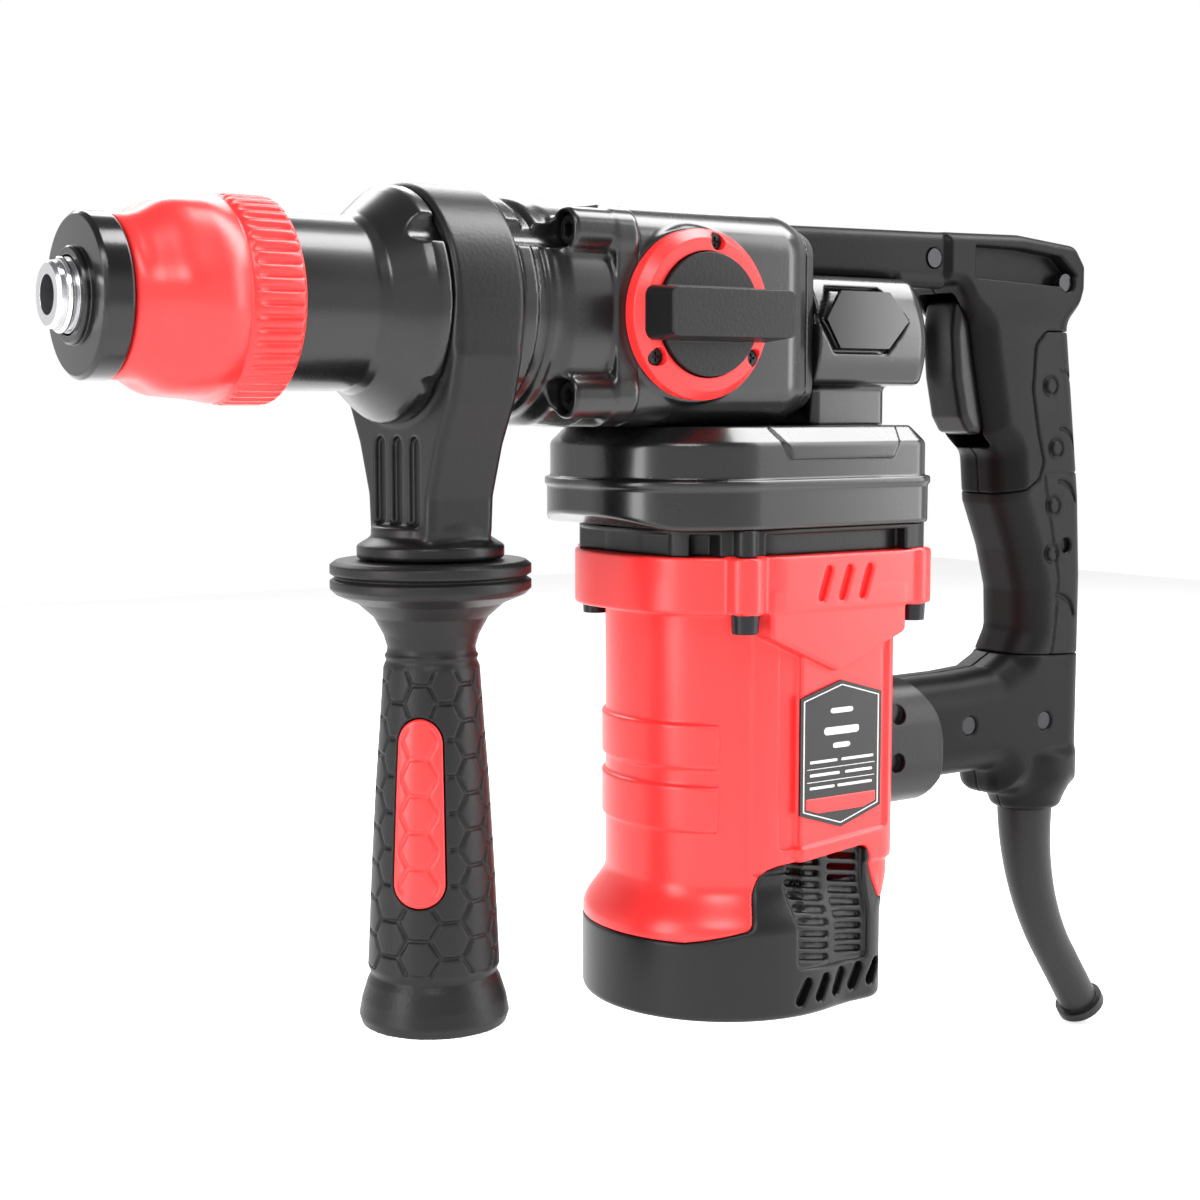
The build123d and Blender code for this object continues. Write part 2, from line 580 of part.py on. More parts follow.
with BuildPart() as crank_gear:
    spur_gear(CRANK_X, CRANK_TEETH, 0.0, GEAR_Z0, GEAR_Z1)
    round_at([(CRANK_X, 0)], 6.0, GEAR_Z0, GEAR_Z1, mode=Mode.SUBTRACT)
    with BuildSketch(Plane.XY.offset(GEAR_Z0)) as windows:
        with Locations((CRANK_X, 0)):
            with PolarLocations(15.0, 6):
                Circle(3.4)
    extrude(windows.sketch, amount=GEAR_Z1 - GEAR_Z0, mode=Mode.SUBTRACT)
save(crank_gear, "crank_gear")

bearing("crank_bearings", [((CRANK_X, 0, -44.0), 6.0, 13.0, 8.0), ((CRANK_X, 0, -58.3), 6.0, 13.0, 8.0)],
        (0, 0, 1))

with BuildPart() as conrod:
    round_at([(WRIST_X, 0)], 6.0, -4, 4)
    round_at([(PIN_X, 0)], 7.0, -4, 4)
    block((WRIST_X, -2.4, -3.5), (PIN_X, 2.4, 3.5))
    round_at([(WRIST_X, 0)], 3.5 + RUN, -5, 5, mode=Mode.SUBTRACT)
    round_at([(PIN_X, 0)], 4.0, -5, 5, mode=Mode.SUBTRACT)
save(conrod, "connecting_rod")

with BuildPart() as crank_pin:
    round_at([(PIN_X, 0)], 4.0, -10.8, 5.0)
    chamfer(crank_pin.faces().sort_by(Axis.Z)[-1].edges(), 0.6)
save(crank_pin, "crank_pin")

PISTON_X0, PISTON_X1 = 124.0, 148.0
with BuildPart() as piston:
    lathe((PISTON_X0, 0), (PISTON_X0, 10.4), (PISTON_X0 + 0.6, 10.95), (PISTON_X1, 10.95), (PISTON_X1, 0))
    block((WRIST_X - 7, -7.6, -4.3), (PISTON_X1 + 1, 7.6, 4.3), mode=Mode.SUBTRACT)
    round_at([(WRIST_X, 0)], 3.5, -9, 9, mode=Mode.SUBTRACT)
save(piston, "piston")

with BuildPart() as wrist_pin:
    round_at([(WRIST_X, 0)], 3.5, -8.8, 8.8)
save(wrist_pin, "wrist_pin")

with BuildPart() as striker:
    lathe((80, 0), (80, 6), (81, 7), (84, 7), (86, 10.95), (98, 10.95), (98, 9.8), (100, 9.8), (100, 10.95),
          (108, 10.95), (108, 0))
save(striker, "striker")

with BuildPart() as impact_bolt:
    lathe((40.8, 0), (40.8, 5.6), (41.6, 6.4), (60.5, 6.95), (62.4, 6.95), (63, 9), (70, 9), (72, 6.5), (74, 6),
          (74, 0))
save(impact_bolt, "impact_bolt")

# ---- Rotary drive --------------------------------------------------------------------------------
with BuildPart() as idler_gear:
    spur_gear(IDLER_X, IDLER_TEETH, pi / IDLER_TEETH, GEAR_Z0, GEAR_Z1)
    round_at([(IDLER_X, 0)], 3.5 + RUN, GEAR_Z0, GEAR_Z1, mode=Mode.SUBTRACT)
save(idler_gear, "idler_gear")

PINION_SLOPE = atan2(BEVEL_PINION_R, BEVEL_RING_R)
RING_SLOPE = pi / 2 - PINION_SLOPE
SMALL_END = (BEVEL_CONE - BEVEL_FACE) / BEVEL_CONE
ROOT = 1.2 * BEVEL_MODULE

PINION_ROOT_R = BEVEL_PINION_R - ROOT * cos(PINION_SLOPE)
PINION_ROOT_Z = -BEVEL_RING_R - ROOT * sin(PINION_SLOPE)
with BuildPart() as bevel_pinion:
    upright_lathe(IDLER_X, (0, GEAR_Z1), (0, PINION_ROOT_Z * SMALL_END),
                  (PINION_ROOT_R * SMALL_END, PINION_ROOT_Z * SMALL_END), (PINION_ROOT_R, PINION_ROOT_Z),
                  (PINION_ROOT_R, GEAR_Z1))
    for tooth in range(BEVEL_PINION_TEETH):
        angle = pi + pi / BEVEL_PINION_TEETH + 2 * pi * tooth / BEVEL_PINION_TEETH
        bevel_tooth(Plane(origin=(IDLER_X, 0, 0), x_dir=(cos(angle), sin(angle), 0), z_dir=(0, 0, -1)),
                    PINION_SLOPE)
    round_at([(IDLER_X, 0)], 3.5 + RUN, -40, 0, mode=Mode.SUBTRACT)
save(bevel_pinion, "bevel_pinion")

with BuildPart() as idler_stud:
    round_at([(IDLER_X, 0)], 3.5, -32.0, -14.6)
save(idler_stud, "idler_stud")

RING_ROOT_R = BEVEL_RING_R - ROOT * cos(RING_SLOPE)
RING_ROOT_BACK = BEVEL_PINION_R + ROOT * sin(RING_SLOPE)  # distance in front of the cones' common apex
RING_BACK_X = IDLER_X - RING_ROOT_BACK - 5.0
with BuildPart() as bevel_ring:
    lathe((RING_BACK_X, BARREL_R), (RING_BACK_X, RING_ROOT_R - 3), (IDLER_X - RING_ROOT_BACK, RING_ROOT_R),
          (IDLER_X - RING_ROOT_BACK * SMALL_END, RING_ROOT_R * SMALL_END),
          (IDLER_X - RING_ROOT_BACK * SMALL_END, BARREL_R))
    for tooth in range(BEVEL_RING_TEETH):
        angle = -pi / 2 + 2 * pi * tooth / BEVEL_RING_TEETH
        bevel_tooth(Plane(origin=(IDLER_X, 0, 0), x_dir=(0, cos(angle), sin(angle)), z_dir=(-1, 0, 0)),
                    RING_SLOPE)
    round_along([(0, 0)], BARREL_R, RING_BACK_X - 1, IDLER_X, mode=Mode.SUBTRACT)
save(bevel_ring, "bevel_ring")

SPINDLE_FLANGE_X = 50.0  # holds the back of the sleeve spring
with BuildPart() as spindle:
    lathe((0, 0), (0, 7.6), (0.8, 8.4), (5, 8.4), (5, 9.4), (9, 10), (20, 10), (20, BARREL_R),
          (SPINDLE_FLANGE_X, BARREL_R), (SPINDLE_FLANGE_X, 16), (53, 16), (53, BARREL_R),
          (BARREL_END, BARREL_R), (BARREL_END, 0))
    lathe((-1, 0), (-1, BORE_R), (SHANK_DEPTH, BORE_R), (SHANK_DEPTH, 7.0),
          (62, 7.0), (62, CYLINDER_R), (BARREL_END + 1, CYLINDER_R), (BARREL_END + 1, 0), mode=Mode.SUBTRACT)
    round_across([(27, 0)], 3.3, -14, 14, mode=Mode.SUBTRACT)
    lathe((2.4, 7.6), (2.4, 9.0), (4.0, 9.0), (4.0, 7.6), mode=Mode.SUBTRACT)
    round_at([(112, 0)], 1.5, -14, 14, mode=Mode.SUBTRACT)
save(spindle, "spindle")

with BuildPart() as lock_balls:
    with Locations((27, -8.4, 0), (27, 8.4, 0)):
        Sphere(3.2)
save(lock_balls, "lock_balls")

with BuildPart() as snap_ring:
    with BuildSketch(Plane.XZ) as wire:
        with Locations((3.2, 8.6)):
            Circle(0.8)
    revolve(wire.sketch, axis=Axis.X, revolution_arc=340)
save(snap_ring, "snap_ring")

with BuildPart() as chuck_cap:
    lathe((5.0, 10.0), (5.0, 11.6), (5.6, 12.2), (6.8, 12.2), (7.0, 19.8), (8.0, 20.8), (14.2, 20.8),
          (15.0, 20.0), (15.0, 12.4), (17, 12.4), (17, 10.0))
save(chuck_cap, "chuck_cap")

bearing("spindle_bearings", [((62.2, 0, 0), BARREL_R, 19.0, 10.5),
                             ((BARREL_END - 6.2, 0, 0), BARREL_R, 18.0, 6.0)], (1, 0, 0))

with BuildPart() as spindle_seal:
    lathe((NECK_X0 + 0.3, BARREL_R + RUN), (NECK_X0 + 0.3, 17.5), (61.7, 17.5), (61.7, 16.2),
          (NECK_X0 + 1.6, 16.2), (NECK_X0 + 1.6, BARREL_R + RUN))
save(spindle_seal, "spindle_seal")

with BuildPart() as lock_sleeve:
    lathe((SLEEVE_X0, BARREL_R + RUN), (SLEEVE_X0, 20.0), (16.5, 20.6), (20, 21.8), (24, 24.4), (27.5, 26.0),
          (31, 26.5), (KNURL_X0 - 2, 26.5), (KNURL_X0, SLEEVE_R), (56.2, SLEEVE_R),
          (SLEEVE_X1, 25.8), (SLEEVE_X1, 24.0), (SLEEVE_SHOULDER + 3, 24.0), (SLEEVE_SHOULDER, 20),
          (SLEEVE_SHOULDER, BARREL_R + RUN))
    with BuildSketch(Plane.YZ.offset(KNURL_X0)) as grooves:
        with PolarLocations(SLEEVE_R, 48):
            Circle(0.55)
    extrude(grooves.sketch, amount=20.0, mode=Mode.SUBTRACT)
save(lock_sleeve, "lock_sleeve")

with BuildPart() as sleeve_spring:
    coil(SLEEVE_SHOULDER, SPINDLE_FLANGE_X, 0, 15.2, 0.8, 4)
save(sleeve_spring, "sleeve_spring")

# ---- Mode selector -------------------------------------------------------------------------------
with BuildPart() as selector_bezel:
    round_across([(SELECTOR_X, SELECTOR_Z)], 23.8, -CASE_HALF, -CASE_HALF - 6.5)
    chamfer(selector_bezel.faces().sort_by(Axis.Y)[0].edges(), 2.6)
    round_across([(SELECTOR_X, SELECTOR_Z)], 17.6, -CASE_HALF + 1, -CASE_HALF - 8, mode=Mode.SUBTRACT)
    BEZEL_SCREWS = [(SELECTOR_X + 20.6 * cos(radians(a)), SELECTOR_Z + 20.6 * sin(radians(a)))
                    for a in (80, 215, 325)]
    round_across(BEZEL_SCREWS, 2.6, -CASE_HALF - 3.0, -CASE_HALF - 8, mode=Mode.SUBTRACT)
    round_across(BEZEL_SCREWS, 1.2, -CASE_HALF + 1, -CASE_HALF - 8, mode=Mode.SUBTRACT)
save(selector_bezel, "selector_bezel")

with BuildPart() as bezel_screws:
    for x, z in BEZEL_SCREWS:
        round_across([(x, z)], 2.3, -CASE_HALF - 3.0, -CASE_HALF - 4.6)
        round_across([(x, z)], 1.15, -CASE_HALF, -CASE_HALF - 3.0)
        with BuildSketch(Plane.XZ.offset(CASE_HALF + 4.0)) as cross:
            with Locations((x, z)):
                Rectangle(2.8, 0.7)
                Rectangle(0.7, 2.8)
        extrude(cross.sketch, amount=1.0, mode=Mode.SUBTRACT)
save(bezel_screws, "bezel_screws")

with BuildPart() as selector_knob:
    round_across([(SELECTOR_X, SELECTOR_Z)], 17.2, -CASE_HALF - GAP, -CASE_HALF - 8.0)
    with BuildSketch(Plane.XZ.offset(CASE_HALF + 8.0)) as lever:
        with Locations((SELECTOR_X - 0.3, SELECTOR_Z)):
            RectangleRounded(45.0, 15.0, 3.0)
    extrude(lever.sketch, amount=11.0, taper=5)
    round_across([(SELECTOR_X, SELECTOR_Z)], 4.0, -CASE_HALF + 1, -CASE_HALF - 6.0, mode=Mode.SUBTRACT)
save(selector_knob, "selector_knob")

with BuildPart() as selector_cam:
    round_across([(SELECTOR_X, SELECTOR_Z)], 4.0, -CASE_HALF + 1, -CASE_HALF - 6.0)
    round_across([(SELECTOR_X, SELECTOR_Z)], 5.0, -25.5, -CASE_HALF)
    round_across([(SELECTOR_X - 2.5, SELECTOR_Z)], 2.0, -21.5, -25.5)
save(selector_cam, "selector_cam")

# ---- Rear cover, handle and switch -----------------------------------------------------------------
COVER_TOP = 12.0

with BuildPart() as rear_cover:
    round_along([(0, -8.0)], 29.6, CASE_END, 270.5)
    block((CASE_END - 1, -40, COVER_TOP), (280, 40, 40), mode=Mode.SUBTRACT)
    block((CASE_END - 1, -40, -60), (280, 40, -21), mode=Mode.SUBTRACT)
    chamfer(rear_cover.faces().sort_by(Axis.X)[-1].edges(), 3.0)
    block((228.5, -21, CASE_FLOOR), (259.0, 21, -20.0))
    block((CASE_END - 1, -19, -18), (264.0, 19, COVER_TOP - WALL), mode=Mode.SUBTRACT)
save(rear_cover, "rear_cover")

LABEL_HEXAGON = [(210, -113), (226, -108.5), (242, -113), (242, -148), (226, -153), (210, -148)]
BADGE_HEXAGON = [(231, 7), (250.5, 7), (258.5, -1.5), (250.5, -10), (231, -10), (225.5, -1.5)]
with BuildPart() as badge_plates:
    for corners, face_y, depth in ((LABEL_HEXAGON, SIDE_HALF, 0.8), (BADGE_HEXAGON, 29.6, 1.4)):
        for side in (-1, 1):
            with BuildSketch(Plane.XZ.offset(-side * face_y)) as badge:
                with BuildLine():
                    Polyline(*corners, close=True)
                make_face()
            extrude(badge.sketch, amount=-side * depth)
save(badge_plates, "badge_plates")

HANDLE_OUTLINE = [
    (CASE_END, COVER_TOP), (CASE_END, 27.5), (300, 27.8), (325, 28.0), (352, 25.5), (357, 20), (353.5, 2),
    (357.5, -30), (361, -58), (362.5, -85), (362.5, -148), (360, -160), (357, -166.5), (334, -166.5),
    (328, -160), (323, -150.5), (262, -150.5), (262, -117), (305, -116.5), (320, -115.5), (329, -111),
    (333.5, -103), (333, -90), (329, -76),
    (322, -60), (320.5, -44), (313.5, -38), (308, -14), (305, 2), (296, COVER_TOP)]
GRIP_REGION = [(340, -18), (364, -18), (374, -60), (374, -122), (346, -124), (333, -113), (335, -88),
               (341, -66), (345, -40)]
HANDLE_SCREWS = [(347, 14), (341, -134.5), (305, -133), (286, 19.8)]
SHELL_WALL = 4.4


def handle_body(inset, edge):
    """The whole rear handle as one solid, shrunk by an inset, its outer edges bevelled."""
    with BuildPart() as body:
        with BuildSketch(Plane.XZ) as outline:
            with BuildLine():
                Polyline(*HANDLE_OUTLINE, close=True)
            make_face()
            if inset:
                offset(amount=-inset, kind=Kind.INTERSECTION)
        extrude(outline.sketch, amount=HANDLE_HALF - inset, both=True)
        if edge:
            flats = body.faces().filter_by(Axis.Y)
            chamfer(flats.edges(), edge)
    return body.part


with BuildPart() as handle_grip:
    add(handle_body(0, 4.0))
    extrude(side_outline(GRIP_REGION), amount=20, both=True, mode=Mode.INTERSECT)
    add(handle_body(1.8, 2.5), mode=Mode.SUBTRACT)
save(handle_grip, "handle_grip")

with BuildPart() as handle_shell:
    add(handle_body(0, 4.0))
    add(handle_body(SHELL_WALL, 0), mode=Mode.SUBTRACT)
    add(handle_grip.part, mode=Mode.SUBTRACT)
    round_across(HANDLE_SCREWS, 4.5, HANDLE_HALF - 2, 2 - HANDLE_HALF)
    round_across(HANDLE_SCREWS, 1.5, 11, -HANDLE_HALF - 1, mode=Mode.SUBTRACT)
    round_across(HANDLE_SCREWS, 3.2, 3.5 - HANDLE_HALF, -HANDLE_HALF - 1, mode=Mode.SUBTRACT)
    block((298, -TRIGGER_HALF - GAP, -41), (324, TRIGGER_HALF + GAP, 9.5), mode=Mode.SUBTRACT)
    round_at([(GUARD_X, 0)], 8.0, -168, -158, mode=Mode.SUBTRACT)
    for side in (-1, 1):
        with BuildSketch(Plane.XZ.offset(-side * (HANDLE_HALF + 1))) as recess:
            with BuildLine():
                Polyline((304, 24), (338, 21.5), (336, 15), (304, 15), close=True)
            make_face()
        extrude(recess.sketch, amount=side * 2.2, mode=Mode.SUBTRACT)

with BuildPart() as handle_left:
    add(handle_shell.part)
    split(bisect_by=Plane.XZ, keep=Keep.TOP)
save(handle_left, "handle_left")

with BuildPart() as handle_right:
    add(handle_shell.part)
    split(bisect_by=Plane.XZ, keep=Keep.BOTTOM)
save(handle_right, "handle_right")

with BuildPart() as handle_screws:
    round_across(HANDLE_SCREWS, 3.0, 3.5 - HANDLE_HALF, 1.4 - HANDLE_HALF)
    round_across(HANDLE_SCREWS, 1.5, 10, 3.5 - HANDLE_HALF)
save(handle_screws, "handle_screws")

SOCKET_SCREWS = [(268.5, -125.5), (268.0, -141.0)]
SOCKET_Z, SOCKET_HEIGHT, SOCKET_END = -135.8, 42.0, 288.0
with BuildPart() as handle_socket:
    with BuildSketch(Plane.YZ.offset(REAR_X)) as oval:
        with Locations((0, SOCKET_Z)):
            RectangleRounded(38, SOCKET_HEIGHT, 15)
    extrude(oval.sketch, amount=SOCKET_END - REAR_X)
    with BuildSketch(Plane.XZ) as end:
        with BuildLine():
            Line((REAR_X, -110), (272, -110))
            ThreePointArc((272, -110), (286, -128), (288, -148))
            Line((288, -148), (284, -160))
            Line((284, -160), (REAR_X, -160))
            Line((REAR_X, -160), (REAR_X, -110))
        make_face()
    extrude(end.sketch, amount=30, both=True, mode=Mode.INTERSECT)
    add(handle_body(0, 4.0), mode=Mode.SUBTRACT)
    round_along([(0, SOCKET_Z)], 12.0, REAR_X - 1, 263, mode=Mode.SUBTRACT)
    round_across(SOCKET_SCREWS, 3.2, -20, -16.5, mode=Mode.SUBTRACT)
save(handle_socket, "handle_socket")

with BuildPart() as trigger_pin:
    round_across([(PIVOT_X, PIVOT_Z)], 2.0, SHELL_WALL - HANDLE_HALF, HANDLE_HALF - SHELL_WALL)
save(trigger_pin, "trigger_pin")

with BuildPart() as trigger:
    extrude(side_outline([(302.5, 7), (301, -4), (302.5, -18), (305.5, -31), (309, -36), (315, -37), (321, -24),
                          (328, -4), (328, 8.5), (316, 9)], 1.8), amount=TRIGGER_HALF, both=True)
    round_across([(PIVOT_X, PIVOT_Z)], 2.0 + RUN, 9, -9, mode=Mode.SUBTRACT)
    chamfer(trigger.faces().filter_by(Axis.Y).edges().filter_by_position(Axis.X, 290, 312), 1.2)
save(trigger, "trigger")

with BuildPart() as switch_body:
    block((331.5, -9.5, -28), (346, 9.5, 6))
    block((334, -10.4, -24), (343, 10.4, 2))
save(switch_body, "switch_body")

with BuildPart() as trigger_spring:
    coil(325.4, 331.5, -18, 2.6, 0.45, 4)
save(trigger_spring, "trigger_spring")

# The cord guard leaves the handle straight down, bends back in one arc and ends in a flared lip.
GUARD_TOP, GUARD_BEND_R, GUARD_TURN = -158.0, 95.0, radians(34)
GUARD_TAIL = 28.0


def guard_plane(turn, beyond=0.0):
    """The plane across the guard where it has turned by an angle."""
    x = GUARD_X + GUARD_BEND_R * (1 - cos(turn)) + beyond * sin(turn)
    z = GUARD_TOP - 10 - GUARD_BEND_R * sin(turn) - beyond * cos(turn)
    return Plane(origin=(x, 0, z), x_dir=(0, 1, 0), z_dir=(sin(turn), 0, -cos(turn)))


with BuildPart() as cord_guard:
    round_at([(GUARD_X, 0)], 8.0, GUARD_TOP - 8, GUARD_TOP)
    sections = []
    for share, radius in ((0, 9.4), (0.33, 8.4), (0.66, 7.5), (1, 6.9)):
        with BuildSketch(guard_plane(GUARD_TURN * share)) as ring:
            Circle(radius)
        sections.append(ring.sketch)
    round_at([(GUARD_X, 0)], 9.4, GUARD_TOP - 10, GUARD_TOP - 8.6)
    loft(sections)
    with BuildSketch(guard_plane(GUARD_TURN)) as tail:
        Circle(6.9)
    extrude(tail.sketch, amount=GUARD_TAIL - 3)
    with BuildSketch(guard_plane(GUARD_TURN, GUARD_TAIL - 3)) as lip:
        Circle(8.6)
    extrude(lip.sketch, amount=3)
    with BuildLine() as route:
        Line((GUARD_X, 0, GUARD_TOP + 1), (GUARD_X, 0, GUARD_TOP - 10))
        TangentArc((GUARD_X, 0, GUARD_TOP - 10), guard_plane(GUARD_TURN).origin, tangent=(0, 0, -1))
        Line(guard_plane(GUARD_TURN).origin, guard_plane(GUARD_TURN, GUARD_TAIL + 1).origin)
    with BuildSketch(Plane(origin=(GUARD_X, 0, GUARD_TOP + 1), x_dir=(1, 0, 0), z_dir=(0, 0, -1))) as bore:
        Circle(GUARD_BORE)
    sweep(bore.sketch, path=route.line, mode=Mode.SUBTRACT)
save(cord_guard, "cord_guard")

# ---- Side handle -----------------------------------------------------------------------------------
YOKE_FOOT = -69.2
with BuildPart() as side_clamp:
    with BuildSketch(Plane.YZ.offset(CLAMP_X0 + GAP)) as yoke:
        with BuildLine():
            Polyline((-32.6, 0), (-32.6, -14), (-29, -26), (-22.5, -38), (-17.5, -52), (-16.5, -65.0),
                     (16.5, -65.0), (17.5, -52), (22.5, -38), (29, -26), (32.6, -14), (32.6, 0), close=True)
        make_face()
    extrude(yoke.sketch, amount=CLAMP_X1 - CLAMP_X0 - 2 * GAP)
    chamfer(side_clamp.faces().filter_by(Axis.X).edges().filter_by_position(Axis.Z, -60, -5), 2.0)
    lathe((CLAMP_X0 + GAP, 20), (CLAMP_X0 + GAP, 33.0), (CLAMP_X1 - GAP, 33.0), (CLAMP_X1 - GAP, 20))
    for x in (CLAMP_X0 + GAP, CLAMP_X1 - GAP):
        with BuildSketch(Plane.YZ.offset(x)) as flutes:
            for y in (-10, 0, 10):
                with Locations((y, -47)):
                    SlotOverall(26.0, 5.5, rotation=90)
        extrude(flutes.sketch, amount=1.2, both=True, mode=Mode.SUBTRACT)
    upright_lathe(CLAMP_X, (0, -63.5), (17.5, -63.5), (19.5, -64.8), (20.4, -65.6), (20.4, YOKE_FOOT),
                  (0, YOKE_FOOT))
    round_along([(0, 0)], SEAT_R + RUN, 90, 130, mode=Mode.SUBTRACT)
    round_at([(CLAMP_X, 0)], ROD_R, -74, -40, mode=Mode.SUBTRACT)
save(side_clamp, "side_clamp")

with BuildPart() as side_rod:
    round_at([(CLAMP_X, 0)], ROD_R, -110, -40)
save(side_rod, "side_rod")

GRIP_WALL = [(28.0, -70.6), (28.0, -73.2), (26.2, -74.2), (28.0, -75.2), (28.0, -77.6), (26.8, -78.8),
             (20.5, -81.5), (16.0, -85.5), (12.9, -91.0), (12.2, -94.5), (12.6, -95.6), (12.9, -96.6),
             (12.7, -97.8), (13.5, -99.5), (14.6, -115.0), (15.9, -132.0), (17.3, -156.0), (18.6, -184.0), (17.9, -186.6),
             (18.6, -188.5)]
INSERT_Z, INSERT_LENGTH, INSERT_WIDTH = -138.5, 52.0, 13.5
INSERT_TURN = radians(44)  # towards the front from the left side


def grip_blank(proud):
    """The side grip's outer form as one solid, its waist grown by a little."""
    waist = [(r + proud, z) for r, z in GRIP_WALL]
    with BuildPart() as body:
        upright_lathe(CLAMP_X, (0, YOKE_FOOT - GAP), (26.8, YOKE_FOOT - GAP), *waist, (20.4, -194.0),
                      (21.2, -198.5), (20.4, SIDE_GRIP_BOTTOM), (0, SIDE_GRIP_BOTTOM))
    return body.part


with BuildPart() as side_insert:
    facing = Plane(origin=(CLAMP_X, 0, INSERT_Z), x_dir=(cos(INSERT_TURN), -sin(INSERT_TURN), 0),
                   z_dir=(-sin(INSERT_TURN), -cos(INSERT_TURN), 0))
    with BuildSketch(facing) as pill:
        SlotOverall(INSERT_LENGTH, INSERT_WIDTH, rotation=90)
    extrude(pill.sketch, amount=30)
    add(grip_blank(0.5), mode=Mode.INTERSECT)
    add(grip_blank(-1.5), mode=Mode.SUBTRACT)
save(side_insert, "side_grip_insert")

with BuildPart() as side_grip:
    add(grip_blank(0))
    add(side_insert.part, mode=Mode.SUBTRACT)
    round_at([(CLAMP_X, 0)], ROD_R + RUN, -114, -60, mode=Mode.SUBTRACT)
save(side_grip, "side_grip")
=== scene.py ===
import functools
import json
import math

import bpy
import numpy as np
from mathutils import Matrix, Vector


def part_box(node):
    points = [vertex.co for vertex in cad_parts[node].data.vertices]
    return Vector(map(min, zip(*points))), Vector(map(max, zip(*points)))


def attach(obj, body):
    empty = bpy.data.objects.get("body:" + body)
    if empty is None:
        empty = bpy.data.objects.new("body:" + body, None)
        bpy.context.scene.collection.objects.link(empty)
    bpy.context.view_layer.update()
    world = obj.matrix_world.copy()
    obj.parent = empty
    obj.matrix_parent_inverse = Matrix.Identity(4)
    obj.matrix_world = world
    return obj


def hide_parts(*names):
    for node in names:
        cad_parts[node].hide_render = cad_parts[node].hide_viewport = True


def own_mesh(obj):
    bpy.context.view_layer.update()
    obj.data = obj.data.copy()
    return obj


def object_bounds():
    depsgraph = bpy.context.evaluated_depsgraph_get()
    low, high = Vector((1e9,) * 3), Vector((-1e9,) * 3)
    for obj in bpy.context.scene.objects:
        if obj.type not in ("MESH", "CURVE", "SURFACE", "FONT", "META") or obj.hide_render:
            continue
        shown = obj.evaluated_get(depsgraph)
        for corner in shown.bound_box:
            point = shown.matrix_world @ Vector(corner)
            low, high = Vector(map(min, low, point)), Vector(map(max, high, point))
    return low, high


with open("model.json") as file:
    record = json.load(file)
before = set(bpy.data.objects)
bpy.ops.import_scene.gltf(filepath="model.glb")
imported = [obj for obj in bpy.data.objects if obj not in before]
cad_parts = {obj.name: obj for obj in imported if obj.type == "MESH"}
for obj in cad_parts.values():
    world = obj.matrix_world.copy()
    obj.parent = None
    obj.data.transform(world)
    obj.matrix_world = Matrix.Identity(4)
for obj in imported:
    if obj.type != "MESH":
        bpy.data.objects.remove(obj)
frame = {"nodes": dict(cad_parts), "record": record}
cad_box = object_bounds()
nodes = frame["nodes"]

# ---- Camera, floor and light ---------------------------------------------------------------------
CAMERA_AT = (-0.1723, -0.4817, -0.0266)
CAMERA_TURN, CAMERA_TILT = math.radians(-35.0), math.radians(90 - 5.6)
CAMERA_LENS, CAMERA_SENSOR = 60, 36
FLOOR_DROP, FLOOR_SIZE, FLOOR_GLOW = 0.0005, 3.4, 0.5
FLOOR_MIDDLE = (0.2, 0)
HORIZON_GLOW, SKY_STRENGTH = (0.2, 0.6), 0.22
LIT_POINT = (0.18, 0, -0.08)
# A lamp's name, with its place, its width and height, and its power.
LAMPS = {
    "overhead": ((0.8, -0.15, 0.95), (0.5, 0.9), 19),
    "front_box": ((-0.5, -0.9, 0.95), (0.6, 0.5), 9),
    "left_box": ((-1.05, -0.1, 0.15), (0.3, 1.2), 10),
    "right_box": ((1.1, -0.75, 0.2), (0.3, 1.4), 10),
    "rim": ((0.5, 1.0, 0.7), (1.2, 0.5), 10),
}


def add_camera():
    data = bpy.data.cameras.new("camera")
    data.lens = CAMERA_LENS
    data.sensor_width = CAMERA_SENSOR
    camera = bpy.data.objects.new("camera", data)
    camera.location = CAMERA_AT
    camera.rotation_euler = (CAMERA_TILT, 0, CAMERA_TURN)
    bpy.context.collection.objects.link(camera)
    bpy.context.scene.camera = camera


def add_lamp(name, at, size, power):
    data = bpy.data.lights.new(name, "AREA")
    data.shape = "RECTANGLE"
    data.size, data.size_y = size
    data.energy = power
    lamp = bpy.data.objects.new(name, data)
    lamp.location = at
    lamp.rotation_euler = (Vector(LIT_POINT) - Vector(at)).to_track_quat("-Z", "Y").to_euler()
    bpy.context.collection.objects.link(lamp)


def add_floor():
    """A faintly glowing white floor under the part."""
    low = cad_box[0][2] - FLOOR_DROP
    bpy.ops.mesh.primitive_plane_add(size=FLOOR_SIZE, location=(*FLOOR_MIDDLE, low))
    floor = bpy.context.object
    floor.name = "floor"
    floor.data.materials.append(surface("floor_white", (0.84, 0.84, 0.845), 0.75))
    shader = floor.data.materials[0].node_tree.nodes["Principled BSDF"]
    shader.inputs["Emission Color"].default_value = (1, 1, 1, 1)
    shader.inputs["Emission Strength"].default_value = FLOOR_GLOW


